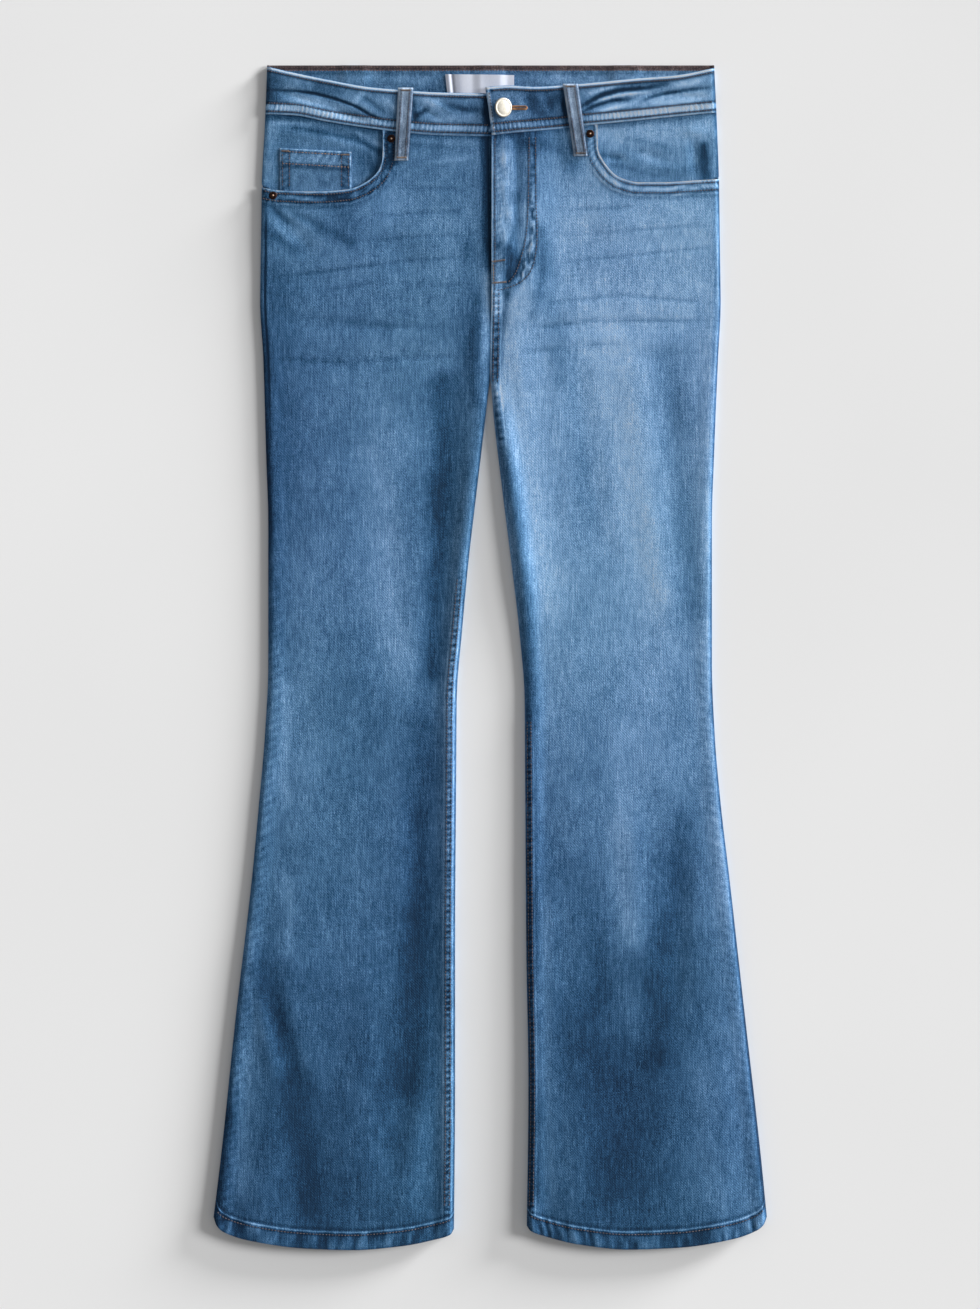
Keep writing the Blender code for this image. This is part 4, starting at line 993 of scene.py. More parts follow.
def back_panel(side):
    edges = edge_columns(2.5, 14)
    top_x = np.array([float(outer_edge(side, YOKE_AT_SIDE)), 160, 108, 55, 0.15])
    points = np.stack([side * top_x, yoke_seam(top_x) + GAP], axis=-1)
    downs = leg_downs(22, 7.0, 2.2)
    shares = np.linspace(0, 1, 26)[:-1]
    middle = 0.5 * path_length(points)
    grid = panel_grid(side, points, middle, (edges, edges, 18, 18), shares, downs, back_inner_edge, 0.5)
    x, down, at, row_length, base, from_hem = grid
    out, from_inner = side * x, row_length - at
    pressed = creases(BACK_CREASES[side], out, down)
    in_hem, waves = hem_waves(out, from_hem, (63, 64))
    fade = line(LEG_TONE["down"], LEG_TONE[side], down)
    fade = fade + 0.05 * noise(out, down, 40, 61) + 0.04 * noise(out * 1.6, down, 14, 62)
    # the pressed creases are darkened: painted shade in their hollows
    fade = fade + 0.10 * hill(out, 110, 70) * band_between(down, 240, 720, 90) - 0.3 * pressed
    fade = fade + hills(from_hem, HEM_FADE) + 0.2 * waves * in_hem
    fade = fade + seat(from_inner, (2.2, 8.2), 0.24) * (down < CROTCH) + 0.28 * hill(from_inner, 0.5, 1.0)
    # painted shade just below the yoke seam
    fade = fade - 0.15 * (1 - ramp(down - yoke_seam(x), 0, 5))
    low = back_up(x, down) + 0.5 * pressed * ramp(np.minimum(at, from_inner), 4, 14)
    low = low + 0.2 * in_hem * np.clip(waves, 0, 1)
    rolls = ramp(base, CROTCH - 16, CROTCH + 13)
    outer, inner = rolled(x, down, at, 1, rolls, low, low + SHELL, -GAP / 2)
    shell = wall(f"back_{SIDE_NAME[side]}", outer, inner, fade, DENIM, front=False)
    dress(shell, f"back_panel_{SIDE_NAME[side]}")


# ---- yokes, waistbands and facings ----

HALF_WIDTH = 205.0


def half_shares():
    """Columns from the side, where the edge rolls, to the middle."""
    return np.concatenate([ROLL_OUTER / HALF_WIDTH, np.linspace(0.03, 1, 70)])


def back_yoke(side):
    u, v = np.meshgrid(half_shares(), np.linspace(0, 1, 26))
    out = mix(outer_edge(side, mix(44.5, YOKE_AT_SIDE, v)), GAP / 2, u)
    x, down = side * out, mix(back_band_low(out) + GAP, yoke_seam(out), v)
    low = back_up(x, down)
    outer, inner = rolled(x, down, HALF_WIDTH * u, 1, 0, low, low + SHELL, -GAP / 2)
    from_seam = yoke_seam(x) - down
    fade = LEG_TONE[side][0] - 0.03 + 0.06 * noise(x, down, 18, 71) + 0.05 * noise(x, down, 5, 72)
    fade = fade + 0.34 * hill(from_seam, 0.4, 1.0) + seat(from_seam, (2.6, 8.8), 0.3, 1.2)
    # rope wear near the seam, and painted shade along the top, under the waistband
    fade = fade + 0.12 * rope(x, down, 4.5, 77) * hill(from_seam, 5.7, 2.4) - 0.15 * (1 - ramp(v, 0, 0.12))
    shell = wall(f"yoke_{SIDE_NAME[side]}", outer, inner, fade, DENIM, front=False)
    dress(shell, f"back_yoke_{SIDE_NAME[side]}")


def waistband_back():
    half = half_shares()
    u, v = np.meshgrid(np.concatenate([half, 2 - half[-2::-1]]), np.linspace(0, 1, 30))
    left_end, right_end = -outer_edge(RIGHT, 44 * v), outer_edge(LEFT, 44 * v)
    x = np.where(u <= 1, mix(left_end, 0, u), mix(0, right_end, u - 1))
    down = v * back_band_low(x)
    low = back_up(x, down)
    top = low + BAND + 0.18 * noise(x, down, 14, 73)
    outer, inner = rolled(x, down, HALF_WIDTH * u, 1, 1, low, top, -GAP / 2)
    fade = 0.50 + 0.10 * noise(x, down * 1.6, 13, 74) + 0.07 * noise(x, down, 5, 75) + 0.14 * ramp(x, 40, 110)
    fade = fade - 0.16 * hill(down, 7.4, 1.6) - 0.16 * ramp(down, 12, 26) - 0.05 * (1 - ramp(down, 0, 6))
    fade = fade + 0.12 * rope(x, down, 4.4, 76) * (down < 6)
    shell = wall("band_back", outer, inner, fade, DENIM_BAND, front=False)
    shell.data.materials.append(DENIM_EDGE)
    for polygon in shell.data.polygons:
        in_edge = polygon.center.y > (LENGTH / 2 - BAND_EDGE) * MM
        polygon.material_index = int(in_edge and polygon.normal.z > -0.5)
    dress(shell, "waistband_back")


HALF_ROWS = 21         # of a front waistband, above and below the line through the button
SLANT = (-4.5, 1.5)    # how far out the left band's end lies at its top and at its foot


def band_row(side, row, share):
    """A row's distances out and its level: 0 to 1 in share is above the button's line, 1 to 2 below it."""
    band, middle, x0 = FRONT_BAND[side], BUTTON["down"], BUTTON["x"]
    if side == RIGHT:
        outs = np.linspace(-29.5, 198, 190)
        slit = 1.9 * hill(outs, -x0, 2.6)
    else:
        outs = np.linspace(SLANT[0], 198, 170)
        outs = outs + 3.0 * share * (1 - ramp(outs, SLANT[0], 30))
        slit = (0.15 + 1.5 * hill(outs, x0, 3.2)) * (outs > x0 - 3.5) * (outs < BUTTONHOLE_END + 1)
    top, low = line(band["out"], band["top"], outs), line(band["out"], band["low"], outs)
    split = mix((middle - top) / (low - top), 0.5, ramp(outs, 45, 80))
    gap = slit / (low - top)
    if row < HALF_ROWS:
        return outs, share * (split - gap)
    return outs, 1 - (2 - share) * (1 - split - gap)


def band_look(side, out, down, level, from_top, from_low):
    """Relief and fade of a front waistband; the strokes' fade paints shade and highlight on its creases and
    shadows beside the loop and the fly.
    """
    drawn = 1.8 * strokes(BAND_STROKES[side], out, down, 0.5, True)
    ribs = rope(out, from_low * 0.3, 3.7, 83 + side)
    between = band_between(from_low, 3.2, 9.6, 0.6)
    up = 0.9 * creases(FINE_CREASES[side], out, down) + drawn * ramp(np.minimum(level, 1 - level), 0, 0.1)
    up = up + 0.12 * noise(out, down, 11, 81 + side) + 0.26 * ribs * between - 0.26 * hill(from_top, 3.6, 0.6)
    up = up - 0.26 * (hill(from_low, 2.7, 0.6) + hill(from_low, 10.0, 0.6))
    up = up - 0.6 * (1 - ramp(from_top, 0, 1.6)) ** 2 - 0.5 * (1 - ramp(from_low, 0, 1.2)) ** 2
    if side == RIGHT:
        pale, fade = 0.24 + 0.16 * ramp(out, 95, 130), 0.49
    else:
        pale, fade = 0.02 + 0.42 * ramp(out, 70, 120), 0.53 + 0.07 * ramp(out, 85, 120)
    fade = fade + 0.07 * noise(out, down * 1.5, 13, 85) + 0.05 * noise(out, down, 5, 86)
    # the strokes' painted shade and highlight
    fade = fade + drawn * (1 - 0.5 * between) + (pale + 0.20 * ribs) * between
    fade = fade + hills(from_top, BAND_TOP_FADE) + hills(from_low, BAND_LOW_FADE)
    fade = fade - 0.35 * (1 - ramp(from_top, 0, 0.8))
    if side == LEFT:
        edge = out - mix(*SLANT, level)
        up = up - 0.7 * (1 - ramp(edge, 0, 1.6)) ** 2
        fade = fade + 0.5 * hill(edge, 1.8, 1.9) + seat(edge, (4.8,), 0.25)
        # painted shade on the outer edge, which rolls towards the light
        fade = fade - 0.55 * (1 - ramp(outer_edge(side, down) - out, 0.4, 3.6))
    return up, fade


def waistband_front(side):
    """Two halves, whole where they meet but for the slit under the button."""
    band = FRONT_BAND[side]
    shares = np.concatenate([np.linspace(0, 1, HALF_ROWS), np.linspace(1, 2, HALF_ROWS)])
    rolling = len(ROLL_OUTER)
    out, level = [], []
    for row, share in enumerate(shares):
        outs, levels = band_row(side, row, share)
        far = float(outer_edge(side, mix(band["top"][-1], band["low"][-1], levels[-1])))
        out.append(np.concatenate([outs, far - ROLL_OUTER[::-1]]))
        level.append(np.concatenate([levels, np.full(rolling, levels[-1])]))
    out, level = np.array(out), np.array(level)
    top, low = line(band["out"], band["top"], out), line(band["out"], band["low"], out)
    down, depth = mix(top, low, level), low - top
    more_up, fade = band_look(side, out, down, level, level * depth, (1 - level) * depth)
    up = front_up(side, out, down) + BAND_RAISE + more_up
    holes = np.zeros((up.shape[0] - 1, up.shape[1] - 1), bool)
    centre = (out[HALF_ROWS - 1, :-1] + out[HALF_ROWS - 1, 1:]) / 2
    if side == RIGHT:
        holes[HALF_ROWS - 1] = np.abs(centre + BUTTON["x"]) < 4.2
    else:
        holes[HALF_ROWS - 1] = (centre > BUTTON["x"] - 3.4) & (centre < BUTTONHOLE_END)
    share = np.zeros(out.shape)
    share[:, -rolling:] = 1
    angle = np.full(out.shape[1], 90.0)
    angle[-rolling:] = ROLL_ANGLES[::-1]
    lift = np.sin(np.radians(angle))
    seam, under = seam_up(down), up - BAND + 0.3
    outer = np.stack([side * out, down, mix(up, seam + (up - seam) * lift, share)], axis=-1)
    in_out = out - roll_inset(angle, BAND) * share
    inner = np.stack([side * in_out, down, mix(under, seam + (under - seam) * lift, share)], axis=-1)
    shell = wall(f"band_{SIDE_NAME[side]}", outer, inner, fade, DENIM_BAND, holes=holes)
    dress(shell, f"waistband_front_{SIDE_NAME[side]}")


def pocket_facing(side):
    wide, inner_end, mouth_end = 122.0, 82.0, MOUTH[side]["down"][0]
    foot = {"out": (inner_end, 100, 125, 160, 204), "below_mouth": (-28, 2, 14, 16, 9)}
    foot_down = tuple(mouth_end + below for below in foot["below_mouth"])
    u, v = np.meshgrid(np.concatenate([ROLL_OUTER / wide, np.linspace(0.05, 1, 62)]), np.linspace(0, 1, 44))
    band = FRONT_BAND[side]
    down = np.zeros_like(u)
    # the place of a row sets its edge, and the edge the row's place
    for _ in range(4):
        under = ramp(down[:, :1], mouth_end - 2, mouth_end)
        out = mix(outer_edge(side, down) - (ROLL + 1.8) * under, inner_end, u)
        down = mix(line(band["out"], band["low"], out) + GAP, line(foot["out"], foot_down, out), v)
    up = facing_up(out, down) + 0.14 * noise(out, down, 12, 91 + side)
    up = up + creases(FACING_CREASES[side], out, down)
    fade = 0.45 if side == RIGHT else 0.57 + 0.12 * (1 - ramp(v, 0.08, 0.5))
    fade = fade + 0.05 * noise(out, down, 16, 92 + side) + 0.04 * noise(out, down, 5, 94)
    fade = fade + strokes(FACING_STROKES[side], out, down, 0.2)
    # painted shadow along the top, under the waistband's edge
    fade = fade - 0.08 * (1 - ramp(v, 0, 0.12)) - 0.14 * (1 - ramp(v, 0.02, 0.10))
    if side == LEFT:
        # painted shade on the outer edge, which rolls towards the light
        fade = fade - 0.42 * (1 - ramp(outer_edge(side, down) - out, 0.5, 4.4))
    outer, inner = rolled(side * out, down, wide * u, 1 - under[:, 0], 0, up, up - SHELL)
    shell = wall(f"facing_{SIDE_NAME[side]}", outer, inner, fade, DENIM)
    dress(shell, f"pocket_facing_{SIDE_NAME[side]}")


# ---- patches: pockets, loops, label and shield ----

def patch(name, piece, shape, made, front=True, tuck=0.0):
    """A wall over a patch of the plan, dressed as the piece (node, flat size, what it rests on); what it
    rests on is not used.

    shape is three functions: corners(u, v) gives (x, down), up_in(x, down) the height under the patch,
    and relief(u, v, x, down) its own height and fade.  made is columns, rows, thickness and material.
    tuck is how wide its edges are turned down.
    """
    node, flat, rests_on = piece
    corners, up_in, relief = shape
    columns, rows, thick, material = made
    u, v = np.meshgrid(np.linspace(0, 1, columns + 1), np.linspace(0, 1, rows + 1))
    x, down = corners(u, v)
    x, down = np.broadcast_to(x, u.shape), np.broadcast_to(down, u.shape)
    up, fade = relief(u, v, x, down)
    low = up_in(x, down)
    high = low + thick + up
    if tuck:
        soft = 1 - ramp(np.minimum(np.minimum(u, 1 - u) * flat[0], np.minimum(v, 1 - v) * flat[1]), 0, tuck)
        high = high - 0.55 * thick * soft ** 2
    faces = (np.stack([x, down, high], axis=-1), np.stack([x, down, low], axis=-1))
    if not front:
        faces = faces[::-1]
    dress(wall(name, *faces, fade, material, front=front), node)


def on_floor(x, down):
    return 0.0 * x


def coin_pocket():
    c = COIN_POCKET

    def corners(u, v):
        top = mix(c["top_outer"], c["top_inner"], u)
        return RIGHT * mix(c["outer"], c["inner"], u), mix(top, c["foot"] - 3 * (1 - u), v)

    def relief(u, v, x, down):
        from_top, from_side = v * 47, np.minimum(u, 1 - u) * 65
        grooves = hill(from_top, 3, 0.7) + hill(from_top, 14, 0.7)
        grooves = grooves + hill(from_side, 2.5, 0.7) + hill(from_side, 8.5, 0.7)
        waves = rope(down, from_side, 6.0, 95) * (from_side < 10)
        waves = waves + rope(x, from_top, 7.0, 96) * (from_top < 15) * (from_side > 9)
        up = 0.35 * (1 - ramp(from_top, 15, 16.5)) - 0.2 * grooves + 0.12 * waves
        up = up + 0.1 * noise(x, down, 8, 95)
        fade = 0.42 + hills(from_top, COIN_TOP_FADE) + hills(from_side, COIN_SIDE_FADE) + 0.12 * waves
        fade = fade + 0.12 * band_between(from_top, 4, 13, 1) - 0.12 * band_between(from_side, 1.5, 9.5, 0.8)
        return up, fade + 0.06 * noise(x, down, 6, 96)

    def up_in(x, down):
        return facing_up(-x, down) + GAP
    piece = ("coin_pocket", (65, 48), ["facing_right"])
    patch("coin", piece, (corners, up_in, relief), (56, 44, TRIM, DENIM_BAND), tuck=1.4)


def back_pocket(side):
    p = BACK_POCKET
    wide, high = BACK_POCKET_SIZE

    def corners(u, v):
        half = mix(p["top_half"], p["low_half"], v)
        foot = mix(p["side"], p["point"], 1 - np.abs(2 * u - 1))
        return side * p["out"] + half * (2 * u - 1), mix(p["top"], foot, v)

    def relief(u, v, x, down):
        from_top = high * v
        near = np.minimum(wide * np.minimum(u, 1 - u), high * (1 - v))
        fade = 0.52 + 0.05 * noise(x, down, 24, 97) + 0.05 * noise(x, down, 7, 96)
        fade = fade + 0.10 * hill(u, 0.5, 0.3) * hill(v, 0.6, 0.35)
        fade = fade + seat(near, (3.0, 9.0), 0.26, 1.3) + seat(from_top, (3.0, 14.0), 0.26, 1.3)
        fade = fade + 0.3 * hill(np.minimum(near, from_top), 0.5, 1.3) - 0.15 * hill(from_top, 16.5, 1.5)
        return 0.0, fade + 0.12 * rope(x, down, 6, 78) * band_between(near, 3, 9, 0.8)
    word = SIDE_NAME[side]
    piece = (f"back_pocket_{word}", (140, 134), ["floor"])
    patch(f"seat_pocket_{word}", piece, (corners, on_floor, relief), (88, 80, TRIM, DENIM), front=False)


def belt_loop_look(u, v, x, down):
    """Two stitched edges with a hollow between, and tacked ends; u runs to the side in the light, which is
    darkened with painted shade.
    """
    across = np.abs(u - 0.5) * LOOP_WIDTH
    ends = hill(v, 0, 0.02) + hill(v, 1, 0.02)
    up = hills(across, ((0.25, 3.6, 1.4), (-0.5, 6.0, 1.1))) + 0.10 * noise(x, down, 5, 98) - 0.3 * ends
    fade = 0.54 + hills(across, LOOP_EDGE_FADE) + 0.10 * noise(x * 2, down, 5, 99) + 0.3 * ends
    # painted shade on the side in the light
    fade = fade - 0.34 * ramp(u, 0.78, 0.90) - 0.45 * ramp(u, 0.93, 1)
    return up, fade - 0.14 * band_between(v, 0.5, 0.9, 0.12) - 0.16 * hill(v, 0.93, 0.03)


def back_belt_loop(name, at):
    def corners(u, v):
        return at + LOOP_WIDTH * (u - 0.5), mix(0.5, float(back_band_low(at)) + LOOP_BELOW_BAND, v)

    def relief(u, v, x, down):
        return 0.0, belt_loop_look(u, v, x, down)[1]
    piece = (name, (LOOP_WIDTH, 64), ["floor"])
    patch("loop_" + name[5:], piece, (corners, on_floor, relief), (12, 50, TRIM, DENIM_TRIM), front=False)


def front_belt_loop(side):
    out_top, out_foot, top, foot = FRONT_LOOPS[side]

    def corners(u, v):
        wide = 1.18 * LOOP_WIDTH * (1 - 0.1 * v)
        return side * (mix(out_top, out_foot, v) + wide * (u - 0.5)), mix(top, foot, v)

    def up_in(x, down):
        low = line(FRONT_BAND[side]["out"], FRONT_BAND[side]["low"], side * x)
        raised = BAND_RAISE * (1 - ramp(down, low + 2, low + 10))
        share = (down - top) / (foot - top)
        bow = 0.2 + 0.7 * np.clip(4 * share * (1 - share), 0, 1)
        return front_up(side, side * x, down) + GAP + raised + bow

    def relief(u, v, x, down):
        return belt_loop_look(u if side == LEFT else 1 - u, v, x, down)
    word = SIDE_NAME[side]
    piece = (f"front_belt_loop_{word}", (13.5, 66), ["band_" + word])
    patch(f"loop_front_{word}", piece, (corners, up_in, relief), (16, 80, 1.2, DENIM_TRIM), tuck=1.2)


def label():
    """A bare satin label: its left end folded under, its face bowed between the ends."""
    p = LABEL

    def corners(u, v):
        return mix(p["x0"] + 2.5 * v, p["x1"], u), mix(p["top"] - 0.8 * (1 - u), p["foot"], v)

    def relief(u, v, x, down):
        up = hills(u, ((0.8, 0.30, 0.22), (0.7, 0.045, 0.03), (-0.5, 0.10, 0.025)))
        up = up + 0.3 * hill(u, 0.72, 0.16) * (1 - v) + 0.3 * (1 - v) ** 2
        # painted shade at the fold near the left end and painted highlight on the bowed face and the right
        # end
        fade = hills(u, ((0.16, 0.32, 0.2), (-0.4, 0.10, 0.02), (-0.2, 0.17, 0.05), (0.08, 0.9, 0.2)))
        return up, 0.50 + fade

    def up_in(x, down):
        return back_up(x, down) + BAND + 0.35 * GAP + 0.25
    piece = ("label", (63, 23), ["band_back"])
    patch("satin_label", piece, (corners, up_in, relief), (90, 24, 0.5, SATIN))


def fly_shield():
    top = FRONT_BAND[RIGHT]["low"][1] + 2 * GAP

    def corners(u, v):
        return -9.5 + mix(39.5, 24.0, ramp(v, 0.7, 1)) * u, mix(top, FLY_END + 4, v)

    def up_in(x, down):
        return 0.0 * x + 3.0

    def relief(u, v, x, down):
        return 0.0, 0.3
    piece = ("fly_shield", (39.5, 143), ["back_right"])
    patch("shield", piece, (corners, up_in, relief), (16, 50, SHELL, DENIM))


# ---- stitches, tacks and metal ----

def surface(names, x, down, way=1):
    """Height of the uppermost of the named pieces at a place, or of the lowest when way is -1."""
    heights = []
    start = Vector((x * MM, (LENGTH / 2 - down) * MM, 0.05 * way))
    for name in names:
        hit = TREES[name].ray_cast(start, Vector((0, 0, -way)))[0]
        if hit is not None:
            heights.append(hit.z)
    return max(heights, key=lambda height: height * way, default=None)


def measured(points):
    """The points as an array, and how far along their line each is."""
    points = np.asarray(points, float)
    return points, np.concatenate([[0], np.cumsum(np.hypot(*np.diff(points, axis=0).T))])


def offset(points, by):
    """The line moved sideways by a distance, to the left of its run as (x, down) is drawn."""
    run = np.gradient(points, axis=0)
    run /= np.hypot(*run.T)[:, None]
    return points + by * np.stack([-run[:, 1], run[:, 0]], axis=-1)


# Rings of a stitch: share of its length, then its width and lift in radii, and a share of how proud it is
STITCH_RINGS = (
    (0.0, 0.35, -0.5, 0), (0.16, 0.9, 0, 0.25), (0.5, 1.0, 0, 1), (0.84, 0.9, 0, 0.25), (1.0, 0.35, -0.5, 0),
)
STITCH_SIDES = 5


class Threads:
    """Gathers stitches of one thread into one mesh; way is -1 on the underside."""

    def __init__(self, name, material, way=1):
        self.name, self.material, self.way = name, material, way
        self.points, self.faces = [], []

    def stitch(self, places, on, radius, proud, step=FAR):
        """One stitch between two places (x, down) on the named pieces, unless a higher step parts them."""
        heights = [surface(on, x, down, self.way) for x, down in places]
        if None in heights or abs(heights[0] - heights[1]) >= step * MM:
            return
        ends = zip(places, heights)
        start, end = (Vector((x * MM, (LENGTH / 2 - down) * MM, up)) for (x, down), up in ends)
        along, radius = end - start, radius * MM
        if along.length < 1e-5:
            return
        proud = proud if self.way > 0 else -0.2
        side = along.cross(Vector((0, 0, 1))).normalized()
        upward = side.cross(along).normalized() * self.way
        first, n = len(self.points), STITCH_SIDES
        for t, width, lift, share in STITCH_RINGS:
            centre = start + along * t + upward * radius * (lift + share * proud)
            for k in range(n):
                angle = 2 * pi * k / n
                self.points.append(centre + radius * width * (side * cos(angle) + upward * sin(angle)))
        last = first + (len(STITCH_RINGS) - 1) * n
        for ring in range(first, last, n):
            for k in range(n):
                a, b = ring + k, ring + (k + 1) % n
                self.faces.append((a, b, b + n, a + n))
        self.faces.append(tuple(first + k for k in reversed(range(n))))
        self.faces.append(tuple(last + k for k in range(n)))

    def row(self, points, on, pitch=2.9, length=2.15, radius=0.46, slant=0.0):
        """Stitches along (x, down) points, on the named pieces; each runs down by twice the slant."""
        points, reach = measured(points)
        count = int(reach[-1] / pitch)
        for k in range(count):
            start = (k + 0.15) * reach[-1] / count
            places = []
            for at, drop in ((start, -slant), (start + length, slant)):
                places.append((np.interp(at, reach, points[:, 0]), np.interp(at, reach, points[:, 1]) + drop))
            self.stitch(places, on, radius, 0.6, step=1.2)

    def tack(self, start, end, width, on, count=14, radius=0.32):
        """A bartack: close stitches across a short line."""
        (x0, d0), (x1, d1) = start, end
        angle = atan2(d1 - d0, x1 - x0)
        across, along = -sin(angle) * width / 2, cos(angle) * width / 2
        for k in range(count):
            x, down = mix(x0, x1, (k + 0.5) / count), mix(d0, d1, (k + 0.5) / count)
            self.stitch([(x - across, down - along), (x + across, down + along)], on, radius, 1.0)

    def finish(self):
        obj = add_mesh(self.name, np.array([tuple(p) for p in self.points]), self.faces, self.material)
        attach(obj, "root")


def placed(xs, downs):
    return np.stack([xs, downs], axis=-1)


def hem_row(side):
    """Where the hem's stitches run."""
    shares = np.linspace(0.015, 0.985, 120)
    ends = (float(outer_edge(side, HEM_FOOT)), float(back_inner_edge(side, HEM_FOOT)))
    foot = HEM_FOOT + line(HEM["share"], HEM[side], shares)
    return placed(side * mix(*ends, shares), foot - HEM_DEPTH + HEM_ROW)


def sew_side(side, dark, legs, tan):
    """Rows and tacks of one side of the front: waistband, pocket mouth, inseam, hem and belt loop."""
    word = SIDE_NAME[side]
    band, panel, loop = [f"band_{word}"], [f"front_{word}"], [f"loop_front_{word}"]
    table = FRONT_BAND[side]
    outs = np.linspace(2.5 if side == LEFT else 1.5, 203.5, 90)
    band_top, band_low = line(table["out"], table["top"], outs), line(table["out"], table["low"], outs)
    for row in (band_top + 3.6, band_low - 2.7, band_low - 10.0):
        dark.row(placed(side * outs, row), band, pitch=2.4, length=1.5, radius=0.56, slant=0.75)
    points, corner, _ = mouth_path(side)
    run = along_path(points, np.linspace(3.0, corner - 1.5, 120))
    for gap in (2.6, 9.6):
        dark.row(offset(run, -side * gap), panel, pitch=2.6, length=1.7, radius=0.52, slant=0.5)
    downs = np.linspace(470 if side == RIGHT else 600, HEM_FOOT - 10, 300)
    low, high = INSEAM_ROWS[side]
    for gap in (low + 0.8, high - 0.8):
        legs.row(placed(side * (back_inner_edge(side, downs) + gap), downs), panel)
    legs.row(hem_row(side), panel)
    out_top, out_foot, top, foot = FRONT_LOOPS[side]
    for out, down in ((out_top, top + 2.4), (out_foot, foot - 2.6)):
        tan.tack((side * (out - 4.6), down), (side * (out + 4.6), down), 2.0, loop, radius=0.28)
    for gap in (-3.6, 3.6):
        dark.row([(side * (out_top + gap), top + 4), (side * (out_foot + gap), foot - 4)], loop, radius=0.36)


def sew_fly(dark, tan):
    """The left band's end, the fly's edge, the two rows of its curve, the centre seam and the tacks."""
    end = np.linspace(0.1, 0.9, 20)
    dark.row(placed(mix(*SLANT, end) + 3.2, mix(20.5, 65, end)), ["band_left"])
    panel = ["front_left"]
    downs = np.linspace(67, 206, 60)
    dark.row(placed(centre_front(downs) + 3.0, downs), panel, radius=0.38)
    for row, foot in (("outer", 206.3), ("inner", 199)):
        downs = np.linspace(66, foot, 120)
        dark.row(placed(fly_curve(row, downs), downs), panel)
    downs = np.linspace(208, CROTCH + 2, 40)
    for gap in (2.4, 6.8):
        dark.row(placed(centre_front(downs) + gap, downs), panel)
    tan.tack((2.0, 180), (14.0, 178.5), 1.9, panel)
    tan.tack((2.0, 199.5), (15.0, 198.5), 1.9, panel)
    tan.row([(3.0, 182), (3.2, 198)], panel, pitch=2.2)


def sew_coin_pocket(dark, tan):
    c, on = COIN_POCKET, ["coin"]
    outer, inner = -c["outer"], -c["inner"]
    for gap in (3.0, 14.0):
        tan.row([(outer + 1.5, c["top_outer"] + gap), (inner - 1.5, c["top_inner"] + gap)], on, radius=0.42)
    for x in (outer + 2.5, outer + 8.8, inner - 2.5, inner - 8.8):
        dark.row([(x, c["top_outer"] + 5), (x, 111)], on, radius=0.38)
    for x, inward in ((outer + 1.5, 1.0), (inner - 1.5, -1.0)):
        top = mix(c["top_outer"], c["top_inner"], (x - outer) / (inner - outer)) + 2.6
        tan.tack((x, top), (x + 7 * inward, top), 1.6, on, count=10)


def sew_front():
    dark = Threads("stitching_dark", THREAD_DARK)
    legs = Threads("stitching_legs", THREAD_DARK)
    tan = Threads("stitching_tan", THREAD_TAN)
    edge = Threads("stitching_edge", THREAD_EDGE)
    for side in (RIGHT, LEFT):
        sew_side(side, dark, legs, tan)
    sew_fly(dark, tan)
    sew_coin_pocket(dark, tan)
    for down in (1.6, 4.6):
        edge.row([(-199, down), (201, down)], ["band_back"], pitch=2.6, length=1.9, radius=0.45)
    for threads in (dark, legs, tan, edge):
        threads.finish()


def sew_back():
    """Rows and tacks on the flat underside: waistband, yoke, centre seam, pockets, loops and hems."""
    rows = Threads("stitching_back", THREAD_DARK, way=-1)
    tacks = Threads("tacks_back", THREAD_TAN, way=-1)
    p = BACK_POCKET
    xs = np.linspace(-201, 201, 160)
    for down in (xs * 0 + 3.6, back_band_low(xs) - 2.7):
        rows.row(placed(xs, down), ["band_back"], radius=0.34)
    for side in (RIGHT, LEFT):
        word = SIDE_NAME[side]
        pocket, centre, outs = [f"seat_pocket_{word}"], side * p["out"], np.linspace(2, 203, 90)
        for gap in (2.6, 8.8):
            rows.row(placed(side * outs, yoke_seam(outs) - gap), [f"yoke_{word}"], radius=0.34)
        rows.row(hem_row(side), [f"back_{word}"], radius=0.34)
        for inset in (3.0, 9.0):
            top, foot = (p["top_half"] - inset, p["top"] + 3), (p["low_half"] - inset, p["side"] - inset)
            corners = [(-top[0], top[1]), (-foot[0], foot[1]), (0, p["point"] - inset), foot, top]
            rows.row([(centre + x, down) for x, down in corners], pocket, radius=0.34)
        for down in (3.0, 14.0):
            ends = (1 - p["top_half"], p["top_half"] - 1)
            rows.row([(centre + x, p["top"] + down) for x in ends], pocket, radius=0.34)
        for x in (centre + 4 - p["top_half"], centre + p["top_half"] - 4):
            tacks.tack((x - 3, p["top"] + 3), (x + 3, p["top"] + 3), 1.8, pocket, count=9, radius=0.28)
    for gap in (2.2, 8.2):
        rows.row([(gap, YOKE_AT_CENTRE + 3), (gap, CROTCH - 4)], ["back_left"], radius=0.34)
    for name, at in BACK_LOOPS.items():
        loop, low = ["loop_" + name[5:]], float(back_band_low(at)) + LOOP_BELOW_BAND
        for down in (3.0, low - 3.0):
            tacks.tack((at - 4.4, down), (at + 4.4, down), 1.8, loop, radius=0.28)
        for gap in (-3.6, 3.6):
            rows.row([(at + gap, 5), (at + gap, low - 5)], loop, radius=0.3)
    rows.finish()
    tacks.finish()


